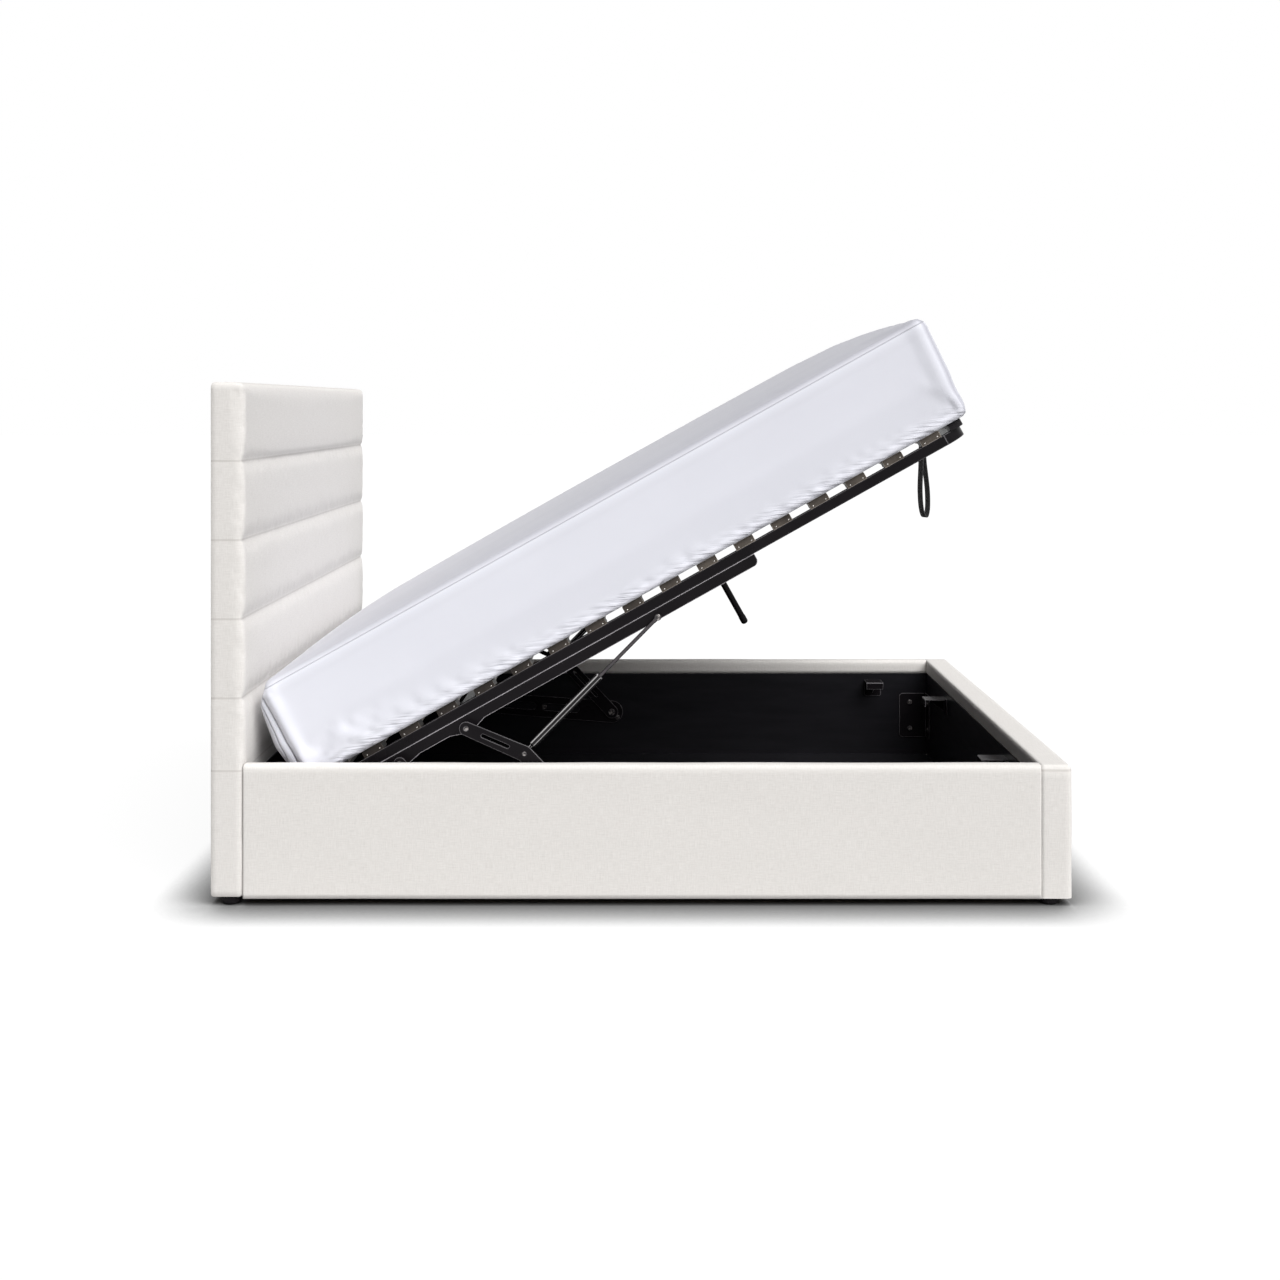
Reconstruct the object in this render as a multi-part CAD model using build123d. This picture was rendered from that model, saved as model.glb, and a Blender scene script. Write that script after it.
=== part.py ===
from build123d import *
import os
from math import atan2, cos, degrees, hypot, radians, sin

os.makedirs("parts", exist_ok=True)

# An upholstered storage bed that opens from its foot end. The slatted frame and the
# mattress on it are drawn raised, as they stand when the gas struts are at full reach.
# X runs from the head to the foot, Y across the bed, Z up. The origin is on the floor
# under the middle of the bed. Sizes are in millimetres, angles in degrees.

# Mattress
mattress_length = 2030.0
mattress_width = 1530.0
mattress_side = 283.0
mattress_crown_long = 9.0
mattress_crown_wide = 18.0
mattress_corner_radius = 70.0
mattress_top_radius = 52.0
mattress_bottom_radius = 14.0
mattress_quilt_thick = 15.0
mattress_belly = 6.0
mattress_belly_height = 128.0

# Room left round the mattress in the box, and under it on the slats
head_gap = 38.0
foot_gap = 10.0
side_gap = 10.0
soft_seat_gap = 0.3

# Box and its padded rails
rail_top = 367.0
rail_thick = 42.0
foot_rail_thick = 82.0
foot_height = 20.0
board_thick = 18.0
foot_core_thick = 55.0
cover_thick = 3.0
cover_top_pad = 10.0
cover_return = 47.0
cover_edge_radius = 9.0
foot_corner_radius = 16.0
foot_end_pad = 12.0

# Headboard
headboard_height = 1365.0
headboard_thick = 88.0
headboard_core_thick = 24.0
headboard_back_thick = 2.0
headboard_wrap = 22.0
headboard_pad_clear = 0.2
channel_pitch = 206.0
channel_least_share = 0.3
channel_low_seam = 352.0
channel_crown = 12.0
channel_side_crown = 4.0
channel_front_radius = 13.0
channel_seam_radius = 5.0
headboard_window_side = 150.0
headboard_window_radius = 40.0

# Floor of the storage space
floor_panel_thick = 4.0
floor_bar_thick = 2.0
floor_bar_width = 40.0
floor_bar_count = 5
floor_joint_gap = 1.0
glide_radius = 20.0
glide_edge_radius = 4.0

# Feet under the corners
corner_foot_radius = 25.0
corner_foot_dome = 9.0
corner_foot_inset = 32.0
head_foot_setback = 37.0
tail_foot_setback = 28.0

# Angle brackets that join the rails, and their bolts
corner_leg_long = 100.0
corner_leg_short = 62.0
corner_bracket_height = 160.0
corner_bracket_low = 88.0
corner_bracket_radius = 14.0
steel_thick = 3.0
bolt_head_radius = 9.0
bolt_head_height = 4.0

# Shelves on the rails that carry the closed frame
rest_width = 60.0
rest_drop = 58.0
rest_clear = 0.5
rest_lip = 24.0
rest_fold_radius = 4.0
rest_corner_radius = 8.0
side_rest_setback = 198.0
foot_rest_offset = 430.0

# Slatted frame, along its own length (u), across (Y) and square to its face (w)
lift_angle = 29.2
raised_head_x = 143.0
raised_head_z = 299.0
closed_recess = 22.0
tube_high = 28.0
tube_wide = 25.0
tube_wall = 2.0
frame_head_inset = 20.0
frame_foot_inset = 40.0
bend_radius = 58.0
beam_wide = 30.0
crossbar_size = 25.0
leg_place = 1220.0
leg_radius = 10.0
leg_wall = 2.0
leg_tip_radius = 11.0
leg_tip_length = 26.0
leg_floor_clear = 2.0

# Sprung slats and their end caps
slat_pitch = 113.0
first_slat = 88.5
slat_wide = 53.0
slat_thick = 8.0
slat_bow = 4.0
slat_end_drop = 10.5
cap_wide = 57.0
cap_high = 20.0
cap_outer_length = 50.0
cap_centre_length = 86.0
cap_radius = 4.0
cap_slat_clear = 0.3
cap_grip = 38.0

# Corner blocks that keep the mattress from sliding off the foot end
stop_length = 40.0
stop_wide = 46.0
stop_corner_radius = 18.0
stop_edge_radius = 4.5
stop_setback = 4.0

# Angle iron under each side tube
flange_thick = 3.0
flange_drop = 30.0
flange_head = 25.0
flange_foot = 1340.0
flange_tip_radius = 16.0
eye_lobe_radius = 18.0
eye_lobe_flare = 52.0

# Lift mechanism: places on the frame, measured along it and down from its face
arm_eye_along = 452.0
arm_eye_drop = 77.0
strut_eye_along = 1036.0
strut_eye_drop = 69.0
link_eye_along = 255.0
link_eye_drop = 72.0
arm_pivot_offset = 430.0
link_pivot_offset = 130.0
knee_along = 280.0
knee_rise = 43.0

# Lift mechanism: plates, pins and running gaps
hinge_plate_thick = 3.0
hinge_plate_arm_radius = 40.0
hinge_plate_link_radius = 36.0
hinge_window_radius = 13.0
arm_thick = 5.0
arm_run_gap = 0.5
arm_eye_radius = 18.0
arm_knee_radius = 21.0
arm_base_radius = 23.0
arm_slot_radius = 5.0
arm_pin_radius = 6.0
base_pin_radius = 7.0
base_head_radius = 12.0
base_head_height = 4.0
collar_radius = 11.0
knee_pin_radius = 5.0
knee_collar_radius = 7.5
knee_head_height = 2.5
link_thick = 5.0
link_eye_radius = 16.0
link_belly = 30.0
link_belly_radius = 20.0
link_pin_radius = 6.0
link_collar_radius = 8.0
screw_head_radius = 8.0
screw_hole_radius = 4.0
pin_clear = 0.05
face_clear = 0.3
open_pivot_clear = 0.3

# Gas struts
cylinder_radius = 10.5
cylinder_bore_radius = 8.5
cylinder_length = 256.0
cylinder_start = 26.0
cylinder_gland = 12.0
cylinder_floor = 12.0
rod_radius = 5.0
piston_length = 12.0
piston_clear = 0.05
piston_back_off = 20.0
strut_side_gap = 1.2
strut_eye_radius = 9.0
strut_eye_thick = 10.0
strut_neck_radius = 6.0
rod_end_length = 18.0
rod_end_taper = 4.0
rod_pin_radius = 4.0
rod_pin_head_radius = 7.0
rod_pin_head_height = 2.5

# Pull strap and the clip that it hangs from
strap_wide = 26.0
strap_web_thick = 8.0
strap_length = 284.0
strap_tip_radius = 12.0
strap_split = 150.0
strap_bow_place = 212.0
strap_bow_radius = 17.0
strap_bow_offset = 6.0
strap_tip_offset = 7.0
strap_hole_radius = 9.0
strap_hole_top_radius = 1.6
strap_hole_low_radius = 3.5
strap_hole_low = 250.0
strap_hole_top = 162.0
strap_ring_radius = 7.0
strap_pin_radius = 2.5
clip_thick = 2.5
clip_reach = 16.0
clip_ear_radius = 6.5
clip_side_gap = 0.5
clip_pin_drop = 52.0
clip_low_gap = 7.0

# Cuts run past the material by this much, and places this near to each other are one
overrun = 5.0
hairline = 0.005

# Shares that set the places of repeated or secondary features
floor_bar_edge_share = 0.10
bolt_height_shares = (0.2, 0.8)
bolt_leg_share = 0.62
bolt_flange_share = 0.25
bolt_dome_shares = (0.72, 0.6)
rest_rib_share = 0.8
plate_screw_share = 0.72
plate_window_shares = (0.30, 0.62)
plate_window_length_share = 0.22
link_belly_share = 0.5
arm_slot_share = 0.5
arm_slot_length_share = 0.42
crossbar_head_share = 0.2
leg_tip_round_share = 0.8

# Sizes that follow from the ones above
box_length = head_gap + mattress_length + foot_gap
inner_half = mattress_width / 2 + side_gap
outer_half = inner_half + rail_thick
overall_length = headboard_thick + box_length + foot_rail_thick
head_x = headboard_thick - overall_length / 2
tail_x = head_x + box_length
back_x = head_x - headboard_thick
deck_level = rail_top - closed_recess
lining_top = rail_top - cover_return
board_low = foot_height + cover_thick
board_high = rail_top - cover_top_pad
floor_low = foot_height + floor_bar_thick
floor_top = floor_low + floor_panel_thick
frame_foot = mattress_length - frame_foot_inset

# Layers of the mechanism, from the lining of the rail towards the middle of the bed
plate_face = inner_half - hinge_plate_thick
arm_outer = plate_face - arm_run_gap
arm_inner = arm_outer - arm_thick
strut_line = arm_inner - strut_side_gap - cylinder_radius
flange_outer = strut_line - cylinder_radius - strut_side_gap
tube_outer = flange_outer - flange_thick
tube_inner = tube_outer - tube_wide
tube_line = tube_outer - tube_wide / 2


def turned(point, angle):
    """A point turned about the origin, from X towards Z."""
    turn = radians(angle)
    x, z = point
    return (x * cos(turn) - z * sin(turn), x * sin(turn) + z * cos(turn))


def raised(along, up):
    """Bed X and Z of a place on the frame, with the frame raised."""
    x, z = turned((along, up), lift_angle)
    return (head_x + raised_head_x + x, raised_head_z + z)


def lowered(along, up):
    """Bed X and Z of a place on the frame, with the frame closed."""
    return (head_x + head_gap + along, deck_level + up)


def fixed_pivot(along, up, offset):
    """The fixed point, offset from the chord, about which a frame place swings shut."""
    open_x, open_z = raised(along, up)
    shut_x, shut_z = lowered(along, up)
    reach_x, reach_z = open_x - shut_x, open_z - shut_z
    reach = hypot(reach_x, reach_z)
    middle_x, middle_z = (open_x + shut_x) / 2, (open_z + shut_z) / 2
    return (middle_x + reach_z / reach * offset, middle_z - reach_x / reach * offset)


def heading(start, end):
    """Angle of the line from one point to another, from X towards Z."""
    return degrees(atan2(end[1] - start[1], end[0] - start[0]))


def span(start, end):
    """Distance between two points."""
    return hypot(end[0] - start[0], end[1] - start[1])


def along_line(start, end, share, rise=0.0):
    """A point part of the way along a line, and off to its left by rise."""
    length = span(start, end)
    step_x, step_z = (end[0] - start[0]) / length, (end[1] - start[1]) / length
    reach = length * share
    return (start[0] + step_x * reach - step_z * rise, start[1] + step_z * reach + step_x * rise)


arm_eye = raised(arm_eye_along, -arm_eye_drop)
strut_eye = raised(strut_eye_along, -strut_eye_drop)
link_eye = raised(link_eye_along, -link_eye_drop)
arm_pivot = fixed_pivot(arm_eye_along, -arm_eye_drop, arm_pivot_offset)
link_pivot = fixed_pivot(link_eye_along, -link_eye_drop, link_pivot_offset)
knee = along_line(arm_pivot, arm_eye, knee_along / span(arm_pivot, arm_eye), -knee_rise)
strut_angle = heading(knee, strut_eye)
strut_length = span(knee, strut_eye)
deck = Location((head_x + raised_head_x, 0, raised_head_z), (0, -lift_angle, 0))


def plate(outline, y_from, y_to):
    """An outline drawn in X and Z, made solid between two places across the bed."""
    return extrude(Plane.XZ.offset(-y_to) * outline, amount=y_to - y_from)


def bar(outline, x_from, x_to):
    """An outline drawn in Y and Z, made solid between two places along the bed."""
    return extrude(Plane.YZ.offset(x_from) * outline, amount=x_to - x_from)


def sheet(outline, z_from, z_to):
    """An outline drawn in X and Y, made solid between two heights."""
    return extrude(Plane.XY.offset(z_from) * outline, amount=z_to - z_from)


def block(x_from, x_to, y_from, y_to, z_from, z_to):
    """A plain box between three pairs of places."""
    size = (x_to - x_from, y_to - y_from, z_to - z_from)
    middle = ((x_from + x_to) / 2, (y_from + y_to) / 2, (z_from + z_to) / 2)
    return Pos(*middle) * Box(*size)


def across(radius, point, y_from, y_to):
    """A round bar that runs across the bed at a point in X and Z."""
    return plate(Pos(*point) * Circle(radius), y_from, y_to)


def hull_of(*rounds):
    """The outline of a band stretched round circles, each given as a point and a radius."""
    edges = []
    for point, radius in rounds:
        edges += (Pos(*point) * Circle(radius)).edges()
    return make_hull(edges)


def slot(start, end, radius):
    """A round-ended slot between two points."""
    return hull_of((start, radius), (end, radius))


def other_side(piece):
    """The same piece on the other side of the bed."""
    return mirror(piece, about=Plane.XZ)


def both_sides(*pieces):
    """The pieces and their mirror images."""
    return list(pieces) + [other_side(piece) for piece in pieces]


def four_corners(piece_at):
    """A piece at each corner: piece_at takes -1 or 1 along X, and the rest is mirrored."""
    return both_sides(piece_at(-1), piece_at(1))


def save(node, *pieces):
    """Write one node, with every solid that it holds."""
    solids = [solid for piece in pieces for solid in piece.solids()]
    export_step(Compound(solids), f"parts/{node}.step")


def save_pair(name, *pieces):
    """Write a node for the left side and its mirror image for the right."""
    save(f"{name}_left", *pieces)
    save(f"{name}_right", *[other_side(piece) for piece in pieces])


# Headboard: a board with padded channels wrapped round its front, ends and top.
def crowned_band(low, high, crown, side_crown):
    """One padded channel, bulging at the front and at both ends."""
    middle = (low + high) / 2
    seam_x = head_x - crown
    front = Polyline((seam_x, low), (back_x, low), (back_x, high), (seam_x, high))
    side = make_face(front + ThreePointArc((seam_x, high), (head_x, middle), (seam_x, low)))
    seam_y = outer_half - side_crown
    right = ThreePointArc((-seam_y, high), (-outer_half, middle), (-seam_y, low))
    left = ThreePointArc((seam_y, low), (outer_half, middle), (seam_y, high))
    rims = Line((-seam_y, low), (seam_y, low)) + Line((seam_y, high), (-seam_y, high))
    face = make_face(right + rims + left)
    solid = plate(side, -outer_half, outer_half) & bar(face, back_x - overrun, head_x + overrun)
    corners = solid.edges().filter_by(Plane.XZ, reverse=True)
    front_corners = [edge for edge in corners if runs_up(edge, high - low)]
    return fillet(front_corners, channel_front_radius)


def runs_up(edge, height):
    """True for an upright edge at the front of a channel."""
    box = edge.bounding_box()
    upright = box.size.Z > height - channel_seam_radius
    return upright and box.max.X > back_x + channel_front_radius


def soften(solid, low, high):
    """Round the seams above and below a channel, all round its front and ends."""
    seams = [edge for edge in solid.edges() if level(edge, low, high)]
    return fillet(seams, channel_seam_radius)


def level(edge, low, high):
    """True for an edge that lies in a seam and not along the back."""
    box = edge.bounding_box()
    flat = box.size.Z < hairline
    at_seam = abs(box.min.Z - low) < hairline or abs(box.min.Z - high) < hairline
    return flat and at_seam and box.max.X > back_x + overrun


def headboard_pocket():
    """The room that the board and its back panel take inside the padding."""
    depth = headboard_back_thick + headboard_core_thick + headboard_pad_clear
    half = outer_half - headboard_wrap + headboard_pad_clear
    high = headboard_height - headboard_wrap + headboard_pad_clear
    return block(back_x - overrun, back_x + depth, -half, half, foot_height - overrun, high)


def headboard_channels():
    """The padded channels, from the top one down to the plain panel behind the mattress."""
    pitches = (headboard_height - channel_low_seam) / channel_pitch
    full_count = int(pitches - channel_least_share)
    seams = [headboard_height - channel_pitch * step for step in range(full_count + 1)]
    seams.append(channel_low_seam)
    bands = []
    for high, low in zip(seams, seams[1:]):
        band = crowned_band(low, high, channel_crown, channel_side_crown)
        bands.append(soften(band, low, high) - headboard_pocket())
    low_panel = block(back_x, head_x, -outer_half, outer_half, foot_height, channel_low_seam)
    corners = low_panel.edges().filter_by(Axis.Z).sort_by(Axis.X)[-2:]
    low_panel = fillet(corners, cover_edge_radius)
    return bands + [low_panel - headboard_pocket()]


def headboard_core():
    """A plywood board with two windows that save weight behind the padding."""
    half = outer_half - headboard_wrap
    front = back_x + headboard_back_thick + headboard_core_thick
    high = headboard_height - headboard_wrap
    board = block(front - headboard_core_thick, front, -half, half, foot_height, high)
    y_from, y_to = headboard_window_side / 2, half - headboard_window_side
    z_from, z_to = rail_top + headboard_window_side, high - headboard_window_side
    window = RectangleRounded(y_to - y_from, z_to - z_from, headboard_window_radius)
    place = Pos((y_from + y_to) / 2, (z_from + z_to) / 2)
    hole = bar(place * window, back_x, front + overrun)
    return board - hole - other_side(hole)


def headboard_back():
    """The thin panel that closes the back."""
    half = outer_half - headboard_wrap
    return block(back_x, back_x + headboard_back_thick, -half, half,
                 foot_height, headboard_height - headboard_wrap)


save("headboard_core", headboard_core())
save("headboard_channels", *headboard_channels())
save("headboard_back", headboard_back())


# Side rails: a board in a padded cover that turns over the top and down the inside.
def rail_outline():
    """Outline of the padded rail, across the bed."""
    height = rail_top - foot_height
    middle = Pos((inner_half + outer_half) / 2, foot_height + height / 2)
    return middle * RectangleRounded(rail_thick, height, cover_edge_radius)


def rail_square_foot():
    """The square lower edge, where the cover is stapled under the board."""
    middle = Pos((inner_half + outer_half) / 2, foot_height + cover_edge_radius)
    return middle * Rectangle(rail_thick, cover_edge_radius * 2)


def rail_hollow():
    """The room inside the cover for the board and the lining."""
    board_middle = Pos(inner_half + cover_thick + board_thick / 2, (board_low + board_high) / 2)
    board = board_middle * Rectangle(board_thick, board_high - board_low)
    lining_middle = Pos(inner_half + cover_thick / 2, (board_low + lining_top) / 2)
    lining = lining_middle * Rectangle(cover_thick, lining_top - board_low)
    return board + lining


def side_rail_cover():
    return bar(rail_outline() + rail_square_foot() - rail_hollow(), head_x, tail_x)


def side_rail_board():
    return block(head_x, tail_x, inner_half + cover_thick, inner_half + cover_thick + board_thick,
                 board_low, board_high)


save_pair("side_rail_cover", side_rail_cover())
save_pair("side_rail_board", side_rail_board())


# Foot rail: thicker than the sides and as wide as the whole bed.
def foot_rail_core():
    half = outer_half - foot_end_pad
    return block(tail_x + cover_thick, tail_x + cover_thick + foot_core_thick, -half, half,
                 board_low, board_high)


def foot_rail_cover():
    height = rail_top - foot_height
    middle = Pos(tail_x + foot_rail_thick / 2, foot_height + height / 2)
    outline = middle * RectangleRounded(foot_rail_thick, height, cover_edge_radius)
    foot = Pos(tail_x + foot_rail_thick / 2, foot_height + cover_edge_radius)
    outline += foot * Rectangle(foot_rail_thick, cover_edge_radius * 2)
    body = plate(outline, -outer_half, outer_half)
    plan = RectangleRounded(foot_rail_thick * 2, outer_half * 2, foot_corner_radius)
    body &= sheet(Pos(tail_x, 0) * plan, 0, rail_top)
    lining = block(tail_x, tail_x + cover_thick, -inner_half, inner_half, board_low, lining_top)
    return body - foot_rail_core() - lining


save("foot_rail_core", foot_rail_core())
save("foot_rail_cover", foot_rail_cover())


# Storage space: black lining boards on the four walls, and a floor in two panels.
def storage_linings():
    side = block(head_x, tail_x, inner_half, inner_half + cover_thick, board_low, lining_top)
    foot = block(tail_x, tail_x + cover_thick, -inner_half, inner_half, board_low, lining_top)
    head = block(head_x, head_x + cover_thick, -inner_half, inner_half, board_low, lining_top)
    return both_sides(side) + [foot, head]


def floor_panels():
    middle = (head_x + tail_x) / 2
    panel = block(head_x + cover_thick, middle - floor_joint_gap / 2, -inner_half, inner_half,
                  floor_low, floor_top)
    return [panel, mirror(panel, about=Plane.YZ.offset(middle))]


def floor_bar_places():
    edge = box_length * floor_bar_edge_share
    pitch = (box_length - edge * 2) / (floor_bar_count - 1)
    return [head_x + edge + pitch * step for step in range(floor_bar_count)]


def floor_supports():
    """Flat steel bars under the floor, between two ledges along the rails."""
    half = floor_bar_width / 2
    inner = inner_half - floor_bar_width
    ledge = block(head_x + cover_thick, tail_x, inner, inner_half, foot_height, floor_low)
    bars = [block(x - half, x + half, -inner, inner, foot_height, floor_low)
            for x in floor_bar_places()]
    return both_sides(ledge) + bars


def foot_shape(radius, dome):
    """A low round foot, flat underneath and rounded at its lower edge."""
    body = Pos(0, 0, foot_height / 2) * Cylinder(radius, foot_height)
    return fillet(body.edges().sort_by(Axis.Z)[0], dome)


def floor_glides():
    shape = foot_shape(glide_radius, glide_edge_radius)
    return [Pos(x, 0, 0) * shape for x in floor_bar_places()[1:-1]]


save("storage_linings", *storage_linings())
save("floor_panels", *floor_panels())
save("floor_supports", *floor_supports())
save("floor_glides", *floor_glides())


# Feet: low black domes under the four corners.
def corner_feet():
    shape = foot_shape(corner_foot_radius, corner_foot_dome)
    y = outer_half - corner_foot_inset
    head = Pos(head_x - head_foot_setback, y, 0) * shape
    tail = Pos(tail_x + tail_foot_setback, y, 0) * shape
    return both_sides(head, tail)


save("corner_feet", *corner_feet())


# Corner brackets: angle irons inside the box, bolted to both walls.
def wall_x(end):
    """Face of the end wall, at the head for -1 and at the foot for 1."""
    return head_x + cover_thick if end < 0 else tail_x


def corner_bracket(end):
    wall = wall_x(end)
    low, high = corner_bracket_low, corner_bracket_low + corner_bracket_height
    middle = (low + high) / 2
    long_outline = Pos(wall - end * corner_leg_long / 2, middle) * Rectangle(
        corner_leg_long, corner_bracket_height)
    long_leg = plate(long_outline, inner_half - steel_thick, inner_half)
    short_middle = inner_half - corner_leg_short / 2
    short_outline = Pos(short_middle, middle) * Rectangle(corner_leg_short, corner_bracket_height)
    short_leg = bar(short_outline, *sorted((wall, wall - end * steel_thick)))
    body = long_leg + short_leg
    free = [edge for edge in body.edges().filter_by(Axis.Y) if near_end(edge, wall, corner_leg_long)]
    body = fillet(free, corner_bracket_radius)
    free = [edge for edge in body.edges().filter_by(Axis.X)
            if edge.center().Y < inner_half - corner_leg_short + steel_thick]
    return fillet(free, corner_bracket_radius)


def near_end(edge, wall, leg):
    """True for an edge at the free end of a bracket's long leg."""
    return abs(edge.center().X - wall) > leg - steel_thick


def bolt_head(thickness):
    """A flanged dome head, along Z from its seat."""
    flange = thickness * bolt_flange_share
    low, top = [bolt_head_radius * share for share in bolt_dome_shares]
    profile = Polyline((0, 0), (bolt_head_radius, 0), (bolt_head_radius, flange), (low, flange),
                       (top, thickness), (0, thickness), close=True)
    return revolve(Plane.XZ * make_face(profile), Axis.Z)


def corner_bolts(end):
    """Two bolts in each leg of a corner bracket."""
    wall = wall_x(end)
    heads = []
    for share in bolt_height_shares:
        z = corner_bracket_low + corner_bracket_height * share
        x = wall - end * corner_leg_long * bolt_leg_share
        y = inner_half - corner_leg_short * bolt_leg_share
        on_side = Location((x, inner_half - steel_thick, z), (90, 0, 0))
        on_end = Location((wall - end * steel_thick, y, z), (0, -end * 90, 0))
        heads += [on_side * bolt_head(bolt_head_height), on_end * bolt_head(bolt_head_height)]
    return Compound(heads)


save("corner_brackets", *four_corners(corner_bracket))
save("corner_bolts", *four_corners(corner_bolts))


# Rests: small shelves on the rails that carry the frame when the bed is closed.
def rest_shelf(depth):
    """A folded shelf on a wall at X zero, with a turned-down lip at its tip and a rib below."""
    top = deck_level - tube_high - cap_high - rest_clear
    inside = steel_thick - depth
    outline = Polyline((0, 0), (0, -rest_drop), (-steel_thick, -rest_drop),
                       (-steel_thick, -steel_thick), (inside, -steel_thick), (inside, -rest_lip),
                       (-depth, -rest_lip), (-depth, 0), close=True)
    body = plate(make_face(outline), -rest_width / 2, rest_width / 2)
    body = fillet(body.edges().filter_by(Axis.X).sort_by(Axis.Z)[:2], rest_corner_radius)
    fold = body.edges().filter_by(Axis.Y).sort_by(Axis.X)[:2].sort_by(Axis.Z)[-1]
    body = fillet(fold, rest_fold_radius)
    rib = Polyline((-steel_thick, -steel_thick), (-steel_thick, -rest_drop * rest_rib_share),
                   (-depth * rest_rib_share, -steel_thick), close=True)
    return Pos(0, 0, top) * (body + plate(make_face(rib), -steel_thick / 2, steel_thick / 2))


def rest_shelves():
    """Shelves on the foot rail and the side rails, each as deep as the far side of its tube."""
    foot_depth = foot_gap + frame_foot_inset + tube_wide
    on_foot = Pos(tail_x, foot_rest_offset, 0) * rest_shelf(foot_depth)
    on_side = Location((tail_x - side_rest_setback, inner_half, 0), (0, 0, 90))
    return both_sides(on_foot, on_side * rest_shelf(inner_half - tube_line + tube_wide / 2))


save("rest_shelves", *rest_shelves())


# Hinge plates: pressed plates screwed to the side rails, which hold both fixed pins.
def plate_screw_points():
    """Screws at the ends and the middle of a hinge plate."""
    middle = ((link_pivot[0] + arm_pivot[0]) / 2, (link_pivot[1] + arm_pivot[1]) / 2)
    out = (hinge_plate_link_radius - screw_head_radius) * plate_screw_share
    head = (link_pivot[0] - out, link_pivot[1] - out)
    tail = (arm_pivot[0] + out, arm_pivot[1] - out)
    return [middle, head, tail]


def hinge_plate():
    outline = hull_of((link_pivot, hinge_plate_link_radius), (arm_pivot, hinge_plate_arm_radius))
    half = plate_window_length_share / 2
    for share in plate_window_shares:
        start = along_line(link_pivot, arm_pivot, share - half)
        end = along_line(link_pivot, arm_pivot, share + half)
        outline -= slot(start, end, hinge_window_radius)
    body = plate(outline, plate_face, inner_half)
    for point in plate_screw_points():
        body -= plate_screw(point)
    return body


def plate_screw(point):
    """A countersunk screw head, flush with the plate."""
    cone = Cone(screw_hole_radius, screw_head_radius, hinge_plate_thick)
    return Location((point[0], inner_half - hinge_plate_thick / 2, point[1]), (90, 0, 0)) * cone


def base_pin(point):
    """A shouldered pin riveted in the hinge plate."""
    shank = across(base_pin_radius, point, arm_inner - face_clear, plate_face)
    head_y = arm_inner - face_clear
    head = across(base_head_radius, point, head_y - base_head_height, head_y)
    rim = head.edges().filter_by(GeomType.CIRCLE).sort_by(Axis.Y)[0]
    return shank + chamfer(rim, base_head_height / 4)


save_pair("hinge_plate", hinge_plate())
save("hinge_plate_screws", *both_sides(*[plate_screw(point) for point in plate_screw_points()]))
save_pair("hinge_pins", base_pin(arm_pivot), base_pin(link_pivot))


# Front arms: bent plates that carry the frame, with a knee for the gas strut.
def front_arm():
    outline = hull_of((arm_eye, arm_eye_radius), (knee, arm_knee_radius))
    outline += hull_of((knee, arm_knee_radius), (arm_pivot, arm_base_radius))
    outline -= Pos(*arm_eye) * Circle(arm_pin_radius + pin_clear)
    outline -= Pos(*arm_pivot) * Circle(base_pin_radius + pin_clear)
    outline -= Pos(*knee) * Circle(knee_pin_radius)
    for start, end in ((arm_eye, knee), (knee, arm_pivot)):
        first = along_line(start, end, arm_slot_share - arm_slot_length_share / 2)
        last = along_line(start, end, arm_slot_share + arm_slot_length_share / 2)
        outline -= slot(first, last, arm_slot_radius)
    return plate(outline, arm_inner, arm_outer)


def knee_pin():
    """The pin on the arm's knee that the cylinder's eye turns on."""
    eye_outer = strut_line + strut_eye_thick / 2 + face_clear
    eye_inner = strut_line - strut_eye_thick / 2 - face_clear
    pin = across(knee_pin_radius, knee, eye_inner, arm_outer)
    pin += across(knee_collar_radius, knee, eye_outer, arm_inner)
    head = across(knee_collar_radius, knee, eye_inner - knee_head_height, eye_inner)
    return pin + head


save_pair("front_arm", front_arm())
save_pair("knee_pin", knee_pin())


# Rear links: shorter plates that steer the head end of the frame.
def rear_link():
    belly = along_line(link_pivot, link_eye, link_belly_share, -link_belly)
    outline = hull_of((link_eye, link_eye_radius), (belly, link_belly_radius))
    outline += hull_of((belly, link_belly_radius), (link_pivot, arm_base_radius))
    outline -= Pos(*link_eye) * Circle(link_pin_radius)
    outline -= Pos(*link_pivot) * Circle(base_pin_radius + pin_clear)
    return plate(outline, arm_outer - link_thick, arm_outer)


def rear_link_pin():
    """The pin that rides in the link and ends just short of the frame's angle iron."""
    pin = across(link_pin_radius, link_eye, arm_inner, arm_outer)
    return pin + across(link_collar_radius, link_eye, flange_outer + open_pivot_clear, arm_inner)


save_pair("rear_link", rear_link())
save_pair("rear_link_pin", rear_link_pin())


# Gas struts: a closed cylinder on the arm's knee, and a rod that ends on the frame.
strut_place = Location((knee[0], strut_line, knee[1]), (0, -strut_angle, 0))
cylinder_end = cylinder_start + cylinder_length


def turned_part(points):
    """A turned shape along local X, from points given as a place and a radius."""
    return revolve(make_face(Polyline(*points, close=True)), Axis.X)


def strut_ring(x, bore):
    """The flat eye at one end of the strut."""
    ring = Circle(strut_eye_radius) - Circle(bore)
    return plate(Pos(x, 0) * ring, -strut_eye_thick / 2, strut_eye_thick / 2)


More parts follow.
